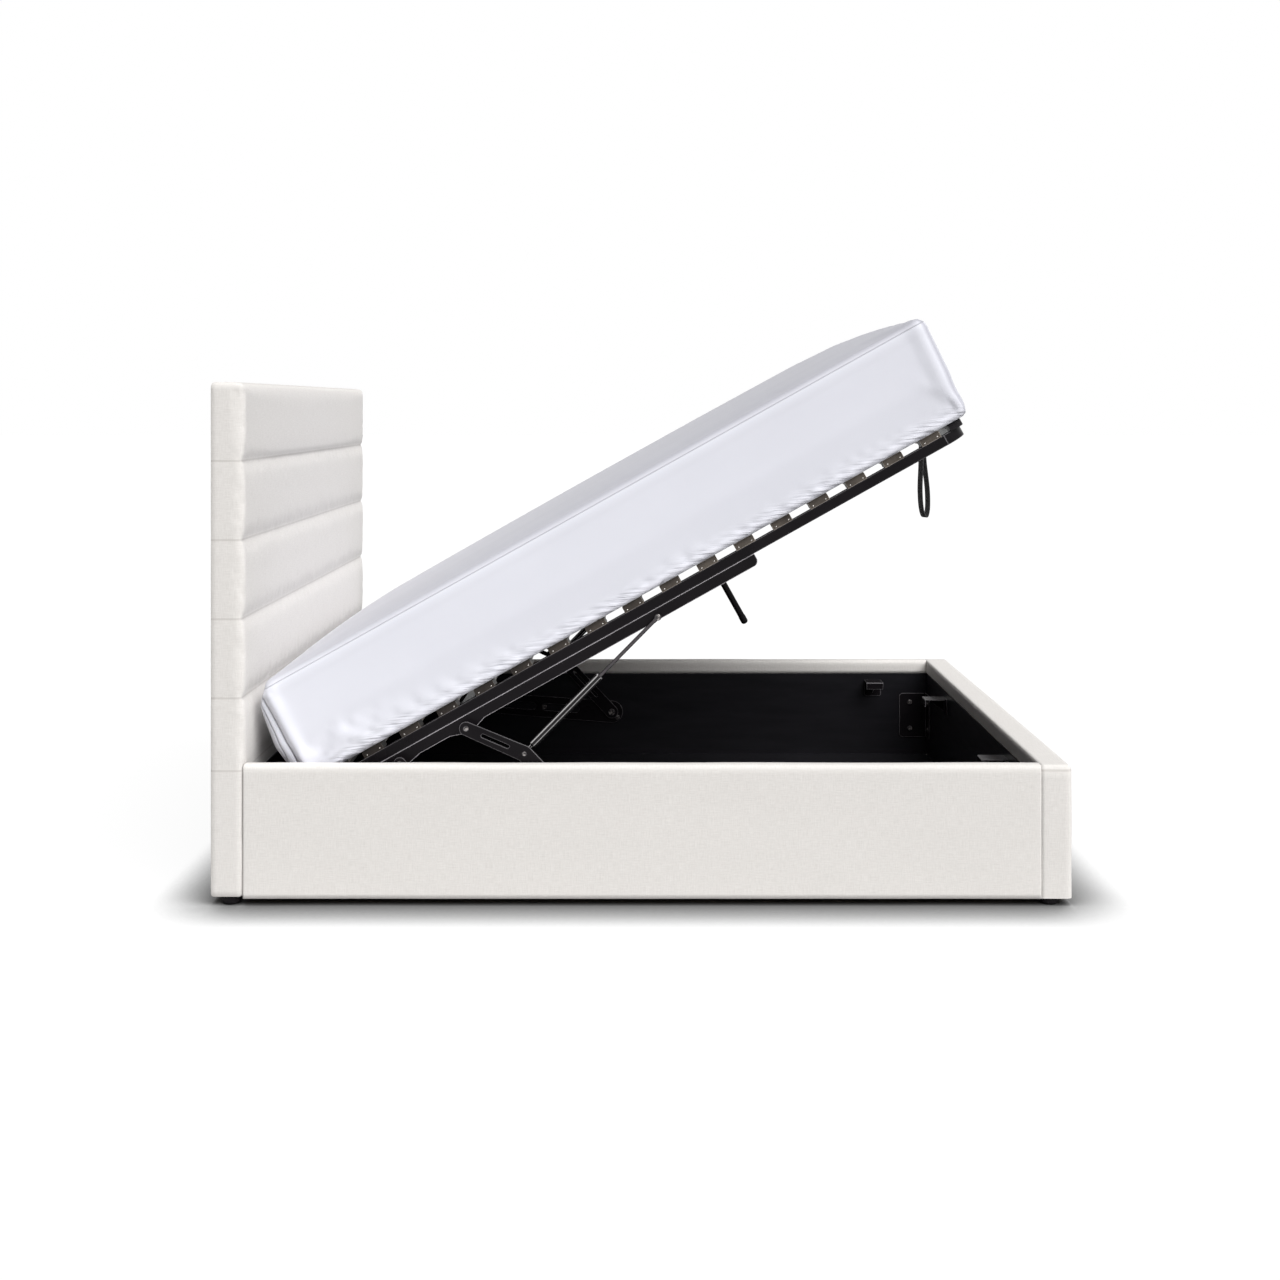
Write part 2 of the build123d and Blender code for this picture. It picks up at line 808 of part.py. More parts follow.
def gas_cylinder():
    gland = cylinder_end - cylinder_gland
    base = cylinder_start + cylinder_floor
    taper = cylinder_radius - strut_neck_radius
    body = turned_part([
        (0, 0), (0, strut_neck_radius), (cylinder_start, strut_neck_radius),
        (cylinder_start + taper, cylinder_radius), (cylinder_end - taper / 4, cylinder_radius),
        (cylinder_end, cylinder_radius - taper / 4), (cylinder_end, rod_radius + pin_clear),
        (gland, rod_radius + pin_clear), (gland, cylinder_bore_radius),
        (base, cylinder_bore_radius), (base, 0),
    ])
    room = across(strut_eye_radius, (0, 0), -cylinder_radius, cylinder_radius)
    return strut_place * (body - room + strut_ring(0, knee_pin_radius + pin_clear))


def gas_rod():
    piston_end = cylinder_end - cylinder_gland - piston_back_off
    piston_start = piston_end - piston_length
    wide = cylinder_bore_radius - piston_clear
    body = turned_part([
        (piston_start, 0), (piston_start, wide), (piston_end, wide), (piston_end, rod_radius),
        (strut_length - rod_end_length, rod_radius),
        (strut_length - rod_end_length + rod_end_taper, strut_neck_radius),
        (strut_length, strut_neck_radius), (strut_length, 0),
    ])
    room = across(strut_eye_radius, (strut_length, 0), -cylinder_radius, cylinder_radius)
    return strut_place * (body - room + strut_ring(strut_length, rod_pin_radius))


def rod_pin():
    """The stud in the rod's eye, which ends just short of the frame's angle iron."""
    eye_outer = strut_line + strut_eye_thick / 2
    eye_inner = strut_line - strut_eye_thick / 2
    tip = flange_outer + open_pivot_clear
    pin = across(rod_pin_radius, strut_eye, eye_inner, eye_outer)
    pin += across(rod_pin_head_radius, strut_eye, tip, eye_inner)
    return pin + across(rod_pin_head_radius, strut_eye, eye_outer, eye_outer + rod_pin_head_height)


save_pair("gas_cylinder", gas_cylinder())
save_pair("gas_rod", gas_rod())
save_pair("rod_pin", rod_pin())


# Slatted frame: square tubes with bent corners, a centre beam and crossbars.
tube_low = -cap_high - tube_high
bend_head = frame_head_inset + bend_radius
bend_foot = frame_foot - bend_radius
bend_side = tube_outer - bend_radius


def tube_section(place, wide=tube_wide):
    """Hollow tube section, drawn at a place across the frame."""
    middle = Pos(place, tube_low + tube_high / 2)
    outer = middle * Rectangle(wide, tube_high)
    return outer - middle * Rectangle(wide - tube_wall * 2, tube_high - tube_wall * 2)


def side_tube():
    return deck * bar(tube_section(tube_line), bend_head, bend_foot)


def end_tube(place):
    return deck * plate(tube_section(place), -bend_side, bend_side)


def tube_bend(end):
    """A quarter bend at one corner of the frame."""
    centre_x = bend_head if end < 0 else bend_foot
    axis = Axis((centre_x, bend_side, 0), (0, 0, -end))
    section = Plane.YZ.offset(centre_x) * tube_section(tube_line)
    return deck * revolve(section, axis, revolution_arc=90)


def centre_beam():
    tail = frame_foot - tube_wide
    return deck * bar(tube_section(0, beam_wide), frame_head_inset + tube_wide, tail)


def crossbar(along):
    low = tube_low - crossbar_size
    middle = Pos(along, low + crossbar_size / 2)
    hollow = crossbar_size - tube_wall * 2
    outline = middle * Rectangle(crossbar_size, crossbar_size) - middle * Rectangle(hollow, hollow)
    return deck * plate(outline, -tube_inner, tube_inner)


save_pair("side_tube", side_tube())
save("head_tube", end_tube(frame_head_inset + tube_wide / 2))
save("foot_tube", end_tube(frame_foot - tube_wide / 2))
save("corner_bends", *four_corners(tube_bend))
save("centre_beam", centre_beam())
save("crossbars", crossbar(leg_place), crossbar(frame_foot * crossbar_head_share))


# Angle irons: welded under the side tubes, with lobes that carry the mechanism.
def angle_iron():
    low = tube_low - flange_drop
    middle = Pos((flange_head + flange_foot) / 2, (tube_low + low) / 2)
    band = middle * Rectangle(flange_foot - flange_head, flange_drop)
    tip = band.vertices().sort_by(Axis.X)[-2:].sort_by(Axis.Y)[0]
    outline = fillet(tip, flange_tip_radius)
    for along, drop in ((arm_eye_along, arm_eye_drop), (link_eye_along, link_eye_drop)):
        lobe = hull_of(((along, -drop), eye_lobe_radius),
                       ((along - eye_lobe_flare, low + flange_thick), flange_thick),
                       ((along + eye_lobe_flare, low + flange_thick), flange_thick))
        outline += lobe
    upright = plate(outline, tube_outer, flange_outer)
    ledge = block(flange_head, flange_foot - flange_tip_radius, tube_inner, tube_outer,
                  tube_low - flange_thick, tube_low)
    return deck * (upright + ledge)


def arm_stud():
    """The collared pin on the frame that the front arm's eye turns on."""
    point = (arm_eye_along, -arm_eye_drop)
    collar = across(collar_radius, point, flange_outer, arm_inner - face_clear)
    return deck * (collar + across(arm_pin_radius, point, arm_inner - face_clear, arm_outer - face_clear))


save_pair("angle_iron", angle_iron())
save("arm_studs", *both_sides(arm_stud()))


# Slats: bowed birch laths in two columns, held in caps on the tubes and on the beam.
def lath_arc(offset):
    """Middle line of a lath across half the frame, shifted up by offset."""
    start, end = slat_inner_end, slat_outer_end
    low = -slat_end_drop + offset
    return ThreePointArc((start, low), ((start + end) / 2, low + slat_bow), (end, low))


def lath_face(thick):
    """Side outline of a lath of a given thickness."""
    top = lath_arc(thick / 2)
    bottom = lath_arc(-thick / 2)
    ends = Line(top @ 0, bottom @ 0) + Line(top @ 1, bottom @ 1)
    return make_face(top + bottom + ends)


slat_outer_end = tube_outer - cap_outer_length + cap_grip
slat_inner_end = cap_centre_length / 2 - cap_grip


def slat():
    return bar(lath_face(slat_thick), -slat_wide / 2, slat_wide / 2)


def slat_room():
    """The room that a slat's end takes in its caps."""
    half = slat_wide / 2 + cap_slat_clear
    return bar(lath_face(slat_thick + cap_slat_clear * 2), -half, half)


def cap(y_from, y_to):
    """A moulded cap with rounded top corners."""
    body = block(-cap_wide / 2, cap_wide / 2, y_from, y_to, -cap_high, -soft_seat_gap)
    tops = body.edges().filter_by(Axis.Y).sort_by(Axis.Z)[-2:]
    return fillet(tops, cap_radius)


def outer_cap():
    return cap(tube_outer - cap_outer_length, tube_outer) - slat_room()


def centre_cap():
    half = cap_centre_length / 2
    return cap(-half, half) - slat_room() - other_side(slat_room())


def at_each_slat(piece):
    """One copy of a piece at every slat, on the raised frame."""
    straight = frame_foot - bend_radius - cap_wide / 2 - first_slat
    places = [first_slat + slat_pitch * step for step in range(int(straight / slat_pitch) + 1)]
    return [deck * Pos(u, 0, 0) * piece for u in places]


save_pair("slats", *at_each_slat(slat()))
save("slat_caps", *both_sides(*at_each_slat(outer_cap())))
save("centre_caps", *at_each_slat(centre_cap()))


# Foot end: corner blocks on the bends, and a leg under the middle of the frame.
def stop_block():
    """A moulded block on the bend, with its crown just under the mattress."""
    u = frame_foot + stop_setback
    body = block(u - stop_length, u, tube_outer - stop_wide, tube_outer, -cap_high, -soft_seat_gap)
    outer = body.edges().filter_by(Axis.Z).sort_by(Axis.X)[-2:].sort_by(Axis.Y)[-1]
    body = fillet(outer, stop_corner_radius)
    return deck * fillet(body.faces().sort_by(Axis.Z)[-1].edges(), stop_edge_radius)


def leg_end():
    """Lowest place of the leg, square to the frame, just clear of the closed floor."""
    return floor_top + leg_floor_clear - deck_level


def centre_leg():
    top = tube_low - crossbar_size
    low = leg_end() + leg_tip_length / 2
    outline = Circle(leg_radius) - Circle(leg_radius - leg_wall)
    return deck * Pos(leg_place, 0, 0) * sheet(outline, low, top)


def leg_tip():
    """A rounded plastic tip pushed over the end of the leg."""
    low = leg_end()
    body = sheet(Circle(leg_tip_radius), low, low + leg_tip_length)
    body = fillet(body.edges().sort_by(Axis.Z)[0], leg_tip_radius * leg_tip_round_share)
    body -= sheet(Circle(leg_radius), low + leg_tip_length / 2, low + leg_tip_length + overrun)
    return deck * Pos(leg_place, 0, 0) * body


save("stop_blocks", *both_sides(stop_block()))
save("centre_leg", centre_leg())
save("leg_tip", leg_tip())


# Pull strap: a stitched webbing loop on a pin in a clip at the middle of the foot tube.
strap_pin_local = (frame_foot + clip_reach, -clip_pin_drop)
strap_pin = raised(*strap_pin_local)


def strap_clip():
    half = strap_wide / 2 + clip_side_gap
    back_high = tube_low + clip_low_gap + clip_ear_radius
    back = block(frame_foot, frame_foot + clip_thick, -half - clip_thick, half + clip_thick,
                 tube_low, back_high)
    ear = hull_of((strap_pin_local, clip_ear_radius),
                  ((frame_foot + clip_thick, tube_low + clip_low_gap), clip_ear_radius))
    ear_cut = Pos(frame_foot - clip_reach, tube_low) * Rectangle(clip_reach * 2, clip_pin_drop * 2)
    ears = plate(ear - ear_cut, half, half + clip_thick)
    pin = across(strap_pin_radius, strap_pin_local, -half, half)
    return deck * (back + ears + other_side(ears) + pin)


def strap_point(across_strap, down):
    """A place on the hanging strap, measured from its pin."""
    return (strap_pin[0] + across_strap, strap_pin[1] - down)


def pull_strap():
    doubled = hull_of((strap_pin, strap_ring_radius), (strap_point(0, strap_split), strap_web_thick))
    bow = (strap_point(strap_bow_offset, strap_bow_place), strap_bow_radius)
    tip = (strap_point(strap_tip_offset, strap_length - strap_tip_radius), strap_tip_radius)
    neck = (strap_point(0, strap_split), strap_web_thick)
    outline = doubled + hull_of(neck, bow) + hull_of(bow, tip)
    hole = hull_of((strap_point(0, strap_hole_top), strap_hole_top_radius),
                   (strap_point(strap_bow_offset, strap_bow_place), strap_hole_radius),
                   (strap_point(strap_tip_offset, strap_hole_low), strap_hole_low_radius))
    outline -= hole
    outline -= Pos(*strap_pin) * Circle(strap_pin_radius + pin_clear)
    return plate(outline, -strap_wide / 2, strap_wide / 2)


save("strap_clip", strap_clip())
save("pull_strap", pull_strap())


# Mattress: a quilted case, crowned on top, with sides that belly a little.
def crown_solid(inset):
    """A block whose top is crowned both ways, drawn in by inset."""
    top = mattress_side + mattress_crown_long + mattress_crown_wide - inset
    half = mattress_width / 2
    edge = top - mattress_crown_wide
    section = make_face(Polyline((-half, edge), (-half, -overrun), (half, -overrun), (half, edge))
                        + ThreePointArc((-half, edge), (0, top), (half, edge)))
    reach = mattress_length / 2
    radius = (reach ** 2 + mattress_crown_long ** 2) / (mattress_crown_long * 2)
    swing = degrees(atan2(reach + overrun, radius))
    axis = Axis((reach, 0, top - radius), (0, 1, 0))
    upright = Plane.YZ.offset(reach) * section
    return revolve(upright.rotate(axis, -swing), axis, revolution_arc=swing * 2)


def belly_plan(inset):
    """Plan of the mattress at its fullest, with rounded corners."""
    size = (mattress_length - inset * 2, mattress_width - inset * 2)
    plan = RectangleRounded(*size, mattress_corner_radius - inset)
    return Pos(mattress_length / 2, 0, mattress_belly_height) * plan


def mattress_body(inset, top_radius, low_radius):
    """The block under the crown, with sides that draw in above and below the belly."""
    top = mattress_side + mattress_crown_long + mattress_crown_wide + overrun
    draw = degrees(atan2(mattress_belly, mattress_belly_height))
    plan = belly_plan(inset)
    upper = extrude(plan, amount=top - mattress_belly_height, taper=draw)
    lower = extrude(plan, amount=soft_seat_gap + inset - mattress_belly_height, taper=draw)
    body = (upper + lower) & crown_solid(inset)
    rim = body.faces().sort_by(Axis.Z)[-1].edges()
    body = fillet(rim, top_radius)
    return fillet(body.faces().sort_by(Axis.Z)[0].edges(), low_radius)


def mattress():
    """The case is hollow: the springs inside weigh little and aren't drawn."""
    outside = mattress_body(0, mattress_top_radius, mattress_bottom_radius)
    quilt = mattress_quilt_thick
    inside = mattress_body(quilt, mattress_top_radius - quilt, mattress_bottom_radius)
    return deck * (outside - inside)


save("mattress", mattress())
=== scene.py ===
from math import cos, exp, hypot, pi, radians, sin

import bmesh
import bpy
from mathutils import Matrix, Vector, noise


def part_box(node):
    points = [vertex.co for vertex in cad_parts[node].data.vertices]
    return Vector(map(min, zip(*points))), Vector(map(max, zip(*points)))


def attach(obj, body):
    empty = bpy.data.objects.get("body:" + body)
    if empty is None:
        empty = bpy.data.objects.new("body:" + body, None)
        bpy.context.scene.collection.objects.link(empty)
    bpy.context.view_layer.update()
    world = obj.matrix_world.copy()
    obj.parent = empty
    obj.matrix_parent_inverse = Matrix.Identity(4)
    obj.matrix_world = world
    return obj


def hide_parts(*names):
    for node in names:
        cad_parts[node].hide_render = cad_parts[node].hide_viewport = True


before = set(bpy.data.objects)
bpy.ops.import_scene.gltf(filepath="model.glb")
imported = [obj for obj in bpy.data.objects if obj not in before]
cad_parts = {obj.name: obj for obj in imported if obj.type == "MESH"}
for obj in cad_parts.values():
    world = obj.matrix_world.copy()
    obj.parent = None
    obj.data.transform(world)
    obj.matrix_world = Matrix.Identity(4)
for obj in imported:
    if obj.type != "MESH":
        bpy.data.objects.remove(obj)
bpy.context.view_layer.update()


# Camera: it stands level at the near side of the bed, nearly as high as the headboard. The
# lens is shifted down, so that upright edges stay upright.
camera = bpy.data.objects.new("camera", bpy.data.cameras.new("camera"))
bpy.context.scene.collection.objects.link(camera)
camera.location = (0.016, -4.684, 1.302)
camera.rotation_euler = (radians(90), 0, 0)
camera.data.sensor_width = 36.0
camera.data.lens = 41.8
camera.data.shift_x = -0.0055
camera.data.shift_y = -0.1828
bpy.context.scene.camera = camera


# Headboard: a plywood board with foam on its front, ends and top, under ivory linen-look
# cloth. Level rows of stitching draw the cover in, so that it stands in padded channels.
# The cover is stapled behind, where a thin black cloth closes the back.
class Wire:
    """An output of a node. Sums on it add Math nodes, and other nodes come from node()."""

    def __init__(self, tree, output=None):
        self.tree = tree
        self.output = output

    def node(self, kind, settings=(), sockets=(), output=0):
        """A new node: its settings are made first, then its sockets' values or links."""
        made = self.tree.nodes.new("ShaderNode" + kind)
        for name, value in dict(settings).items():
            if name == "stops":
                self.set_stops(made.color_ramp, value)
            else:
                setattr(made, name, value)
        for name, value in dict(sockets).items():
            if isinstance(value, Wire):
                self.tree.links.new(value.output, made.inputs[name])
            else:
                made.inputs[name].default_value = value
        return Wire(self.tree, made.outputs[output])

    def set_stops(self, ramp, stops):
        """Gives a ramp its stops, each a place and a grey."""
        while len(ramp.elements) < len(stops):
            ramp.elements.new(1.0)
        for element, (place, grey) in zip(ramp.elements, stops):
            element.position = place
            element.color = (grey, grey, grey, 1.0)

    def maths(self, operation, *values):
        return self.node("Math", {"operation": operation}, dict(enumerate(values)))

    def __add__(self, other):
        return self.maths("ADD", self, other)

    def __sub__(self, other):
        return self.maths("SUBTRACT", self, other)

    def __mul__(self, other):
        return self.maths("MULTIPLY", self, other)

    def __rsub__(self, other):
        return self.maths("SUBTRACT", other, self)

    __radd__ = __add__
    __rmul__ = __mul__

    def coordinates(self, scale=(1.0, 1.0, 1.0), turn=(0.0, 0.0, 0.0)):
        """Places on the piece, in metres, stretched by scale."""
        places = self.node("TexCoord", output="Object")
        return places.node("Mapping", {}, {"Vector": places, "Scale": scale, "Rotation": turn})

    def cloth(self, across, along):
        """Places along the cloth's own threads, in metres, stretched by across and along."""
        threads = self.node("UVMap", {"uv_map": "threads"})
        return threads.node("Mapping", {}, {"Vector": threads, "Scale": (across, along, 1.0)})

    def grain(self, places, detail=2.0, roughness=0.5):
        """Smooth noise of one cell to a unit of the places."""
        sockets = {"Vector": places, "Scale": 1.0, "Detail": detail, "Roughness": roughness}
        return self.node("TexNoise", {}, sockets)

    def ramp(self, *stops):
        """This value through a ramp of greys."""
        return self.node("ValToRGB", {"stops": stops}, {"Fac": self})

    def object_place(self, axis):
        """How far along its X, Y or Z axis a place on the piece is, in metres."""
        places = self.node("TexCoord", output="Object")
        return self.node("SeparateXYZ", {}, {"Vector": places}, axis)

    def dot(self, direction):
        """How far this arrow or place goes along a direction."""
        sockets = {0: self, 1: direction}
        return self.node("VectorMath", {"operation": "DOT_PRODUCT"}, sockets, "Value")

    def soft_edge(self, radius, samples=4):
        """The way out of the surface, with its edges rounded for the light."""
        return self.node("Bevel", {"samples": samples}, {"Radius": radius})

    def tint(self, dark, light):
        """A colour between two, by this value."""
        return self.node("Mix", {"data_type": "RGBA"}, {0: self, 6: dark, 7: light}, output=2)

    def dent(self, distance, normal=None):
        """This height as a bump of that many metres."""
        sockets = {"Height": self, "Distance": distance, "Strength": 1.0}
        if normal is not None:
            sockets["Normal"] = normal
        return self.node("Bump", {}, sockets)


def make_finish(name, build, constants):
    """A material: constants are set on its shader, and build gives the sockets that vary."""
    material = bpy.data.materials.new(name)
    material.use_nodes = True
    shader = material.node_tree.nodes["Principled BSDF"]
    for socket, value in constants.items():
        shader.inputs[socket].default_value = value
    for socket, wire in build(Wire(material.node_tree)).items():
        material.node_tree.links.new(wire.output, shader.inputs[socket])
    return material


def line_at(distance, half_wide):
    """One on a line, where the distance is zero, and zero from half_wide on."""
    near = 1.0 - distance.maths("ABSOLUTE", distance) * (1.0 / half_wide)
    return near.maths("MAXIMUM", near, 0.0)


def linen_look(wire, seam=0.0):
    """Plain weave of uneven threads, slubs both ways, a little mottled, dark where sewn."""
    warp = wire.grain(wire.cloth(threads_a_metre, slubs_a_metre))
    weft = wire.grain(wire.cloth(slubs_a_metre, threads_a_metre))
    mottle = wire.grain(wire.cloth(150, 150), detail=3.0)
    slubs = warp * 0.5 + weft * 0.5
    shade = (slubs - 0.5) * 1.6 + (mottle - 0.5) * 0.4 + 0.6 - seam
    squares = {"Vector": wire.cloth(1, 1), "Scale": crossings_a_metre}
    crossing = wire.node("TexChecker", {}, squares, output="Fac")
    height = slubs + crossing * 0.25 + mottle * 0.3
    return {"Base Color": shade.tint(linen_dark, linen_light), "Normal": height.dent(0.0003)}


threads_a_metre = 650
slubs_a_metre = 34
crossings_a_metre = 620.0
linen_dark = (0.640, 0.612, 0.582, 1.0)
linen_light = (0.840, 0.815, 0.787, 1.0)
linen_touch = {"Roughness": 0.88, "Specular IOR Level": 0.25,
               "Sheen Weight": 0.25, "Sheen Roughness": 0.5}
linen = make_finish("linen", linen_look, linen_touch)


def lattice(low, high, spacing, seams=()):
    """A box with its faces in a grid of about the spacing, and lines at the seams' heights."""
    bm = bmesh.new()
    size = Vector(high) - Vector(low)
    bmesh.ops.create_cube(bm, size=1.0)
    bmesh.ops.scale(bm, vec=size, verts=bm.verts)
    bmesh.ops.translate(bm, vec=Vector(low) + size / 2, verts=bm.verts)
    for height in seams:
        everything = bm.verts[:] + bm.edges[:] + bm.faces[:]
        bmesh.ops.bisect_plane(bm, geom=everything, plane_co=(0, 0, height), plane_no=(0, 0, 1))
    for axis in range(3):
        for cuts, edges in edges_to_cut(bm, axis, spacing).items():
            bmesh.ops.subdivide_edges(bm, edges=edges, cuts=cuts, use_grid_fill=True)
    return bm


def edges_to_cut(bm, axis, spacing):
    """The edges along an axis, by how many cuts each one needs."""
    groups = {}
    for edge in bm.edges:
        run = edge.verts[1].co - edge.verts[0].co
        cuts = round(abs(run[axis]) / spacing) - 1
        if abs(run[axis]) > 0.99 * run.length and cuts > 0:
            groups.setdefault(cuts, []).append(edge)
    return groups


def drop_faces(bm, facing):
    """Leaves a box open on the sides that facing picks, by each face's normal."""
    bm.normal_update()
    gone = [face for face in bm.faces if facing(face.normal)]
    bmesh.ops.delete(bm, geom=gone, context="FACES")


def round_off(point, low, high, radius):
    """Where a place on a box goes when all its edges are rounded, and which way is out there."""
    core = Vector([min(max(point[i], low[i] + radius), high[i] - radius) for i in range(3)])
    out = (point - core).normalized()
    return core + out * radius, out


def add_piece(name, bm, finish):
    """An object made of a bmesh, with smooth shading and one finish."""
    mesh = bpy.data.meshes.new(name)
    bm.to_mesh(mesh)
    bm.free()
    piece = bpy.data.objects.new(name, mesh)
    bpy.context.scene.collection.objects.link(piece)
    mesh.materials.append(finish)
    mesh.shade_smooth()
    return piece


def lay_threads(piece):
    """Gives cloth its thread directions: each face is mapped along the two axes it lies in."""
    mesh = piece.data
    layer = mesh.uv_layers.new(name="threads")
    flat_axes = ((1, 2), (0, 2), (0, 1))
    for face in mesh.polygons:
        facing = max(range(3), key=lambda i: abs(face.normal[i]))
        first, second = flat_axes[facing]
        for loop in face.loop_indices:
            place = mesh.vertices[mesh.loops[loop].vertex_index].co
            layer.data[loop].uv = (place[first], place[second])


def fill_out(piece, held, pressure, cap, slack):
    """Cloth simulation: air inside swells the cover between the points that are held."""
    scene = bpy.context.scene
    last_frame = 20
    group = piece.vertex_groups.new(name="held")
    start = [vertex.co.copy() for vertex in piece.data.vertices]
    for index, place in enumerate(start):
        weight = held(place)
        if weight > 0:
            group.add([index], weight, "REPLACE")
    cloth = piece.modifiers.new("cloth", "CLOTH")
    cloth.settings.quality = 6
    cloth.settings.mass = 0.2
    cloth.settings.tension_stiffness = 12
    cloth.settings.compression_stiffness = 12
    cloth.settings.shear_stiffness = 6
    cloth.settings.bending_stiffness = 0.6
    cloth.settings.air_damping = 4
    cloth.settings.use_pressure = True
    cloth.settings.uniform_pressure_force = pressure
    cloth.settings.shrink_min = -slack
    cloth.settings.vertex_group_mass = "held"
    cloth.settings.effector_weights.gravity = 0
    cloth.point_cache.frame_start = 1
    cloth.point_cache.frame_end = last_frame
    for step in range(1, last_frame + 1):
        scene.frame_set(step)
    swollen = piece.evaluated_get(bpy.context.evaluated_depsgraph_get()).data
    ends = [vertex.co.copy() for vertex in swollen.vertices]
    piece.modifiers.remove(cloth)
    piece.vertex_groups.remove(group)
    for vertex, before, after in zip(piece.data.vertices, start, ends):
        move = after - before
        vertex.co = before + move * min(1.0, cap / max(move.length, cap / 1000))
    scene.frame_set(1)


board_low, board_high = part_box("headboard_channels")
board_radius = 0.013
board_ripple = 0.0012
channel_pitch = 0.206
channel_count = 4
low_seam = 0.352
seams = [board_high.z - channel_pitch * step for step in range(1, channel_count + 1)] + [low_seam]
channel_edges = [board_high.z] + seams + [board_low.z]
channel_crown = 0.0065
end_crown = 0.001
seam_width = 0.007
roll_share = 0.55
crease_share = 0.45
stitch_half_wide = 0.0035
stitch_hold = 0.002
stapled_behind = 0.022


def channel_look(wire):
    """The same linen, with the lines of stitching between the channels."""
    up = wire.object_place("Z")
    return linen_look(wire, sum(line_at(up - seam, stitch_half_wide) for seam in seams) * 1.1)


channelled_linen = make_finish("channelled_linen", channel_look, linen_touch)


def channel_depth(height):
    """How far the cover is drawn in at a height: nothing at mid channel, one at a seam."""
    if height > channel_edges[0] or height < low_seam:
        return 0.0
    for high, low in zip(channel_edges, channel_edges[1:]):
        if low <= height <= high:
            from_seam = min(height - low, high - height)
            if high == channel_edges[0]:
                from_seam = height - low
            roll = max(0.0, 1 - from_seam / (channel_pitch / 2))
            return roll_share * roll ** 3 + crease_share * exp(-(from_seam / seam_width) ** 2)
    return 0.0


def headboard_place(point):
    """A place on the padded headboard, crowned in channels."""
    place, out = round_off(point, board_low, board_high, board_radius)
    depth = channel_depth(point.z)
    ripple = noise.noise(Vector((point.y * 9, point.z * 9, 3.0))) * board_ripple
    place.x += (ripple - channel_crown * depth) * max(0.0, out.x)
    place.y -= end_crown * depth * out.y
    return place


def seam_hold(place):
    """Stitching and staples hold the cover along the seams and behind, and over the ends."""
    near = min(abs(place.z - seam) for seam in seams)
    behind = place.x < board_high.x - stapled_behind or place.z < low_seam
    return 1.0 if near < stitch_hold or behind else 0.0


bm = lattice(board_low, board_high, spacing=0.0103, seams=seams)
drop_faces(bm, lambda normal: normal.x < -0.9 or normal.z < -0.9)
for vertex in bm.verts:
    vertex.co = headboard_place(vertex.co)
headboard_cover = add_piece("headboard_cover", bm, channelled_linen)
fill_out(headboard_cover, seam_hold, pressure=2.5, cap=0.0035, slack=0.01)
lay_threads(headboard_cover)
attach(headboard_cover, "bed_base")
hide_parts("headboard_channels")


# Boards: birch plywood inside the headboard and the rails, which shows only from below and
# between the covers. The headboard's back is closed with a thin black cloth.
def plywood_look(wire):
    """Pale birch face with long brown figure, and a faint bump along the grain."""
    figure = wire.grain(wire.coordinates((3, 3, 60)), detail=5.0)
    fine = wire.grain(wire.coordinates((20, 20, 500)))
    shade = (figure - 0.5) * 1.6 + (fine - 0.5) * 0.5 + 0.5
    rough = 0.62 + fine * 0.15
    return {"Base Color": shade.tint((0.34, 0.23, 0.13, 1), (0.68, 0.54, 0.36, 1)),
            "Roughness": rough, "Normal": fine.dent(0.0002)}


plywood = make_finish("plywood", plywood_look, {})


def backing_look(wire):
    """Black non-woven cloth: pressed fibres with a grid of small welded dots."""
    dots = wire.node("TexVoronoi", {}, {"Vector": wire.coordinates((350, 350, 350)), "Scale": 1.0})
    fibres = wire.grain(wire.coordinates((900, 900, 900)))
    height = dots + fibres * 0.4
    return {"Base Color": fibres.tint((0.010, 0.010, 0.011, 1), (0.028, 0.028, 0.030, 1)),
            "Normal": height.dent(0.0003)}


backing = make_finish("backing_cloth", backing_look, {"Roughness": 0.9, "Sheen Weight": 0.1})


def give_finish(finish, *names):
    """Gives CAD nodes their finish."""
    for name in names:
        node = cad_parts[name]
        node.data.materials.clear()
        node.data.materials.append(finish)


give_finish(plywood, "headboard_core", "side_rail_board_left", "side_rail_board_right",
            "foot_rail_core")
give_finish(backing, "headboard_back")


# Side rails: the same cloth over thin foam on a board. It turns over the top and a few
# centimetres down the inside, where it is stapled above the black lining.
rail_radius = 0.010
rail_ripple = 0.0011
rail_swell = 0.0008
cover_thick = 0.003
end_roll = 0.0004
end_overlap = Vector((0.02, 0, 0))


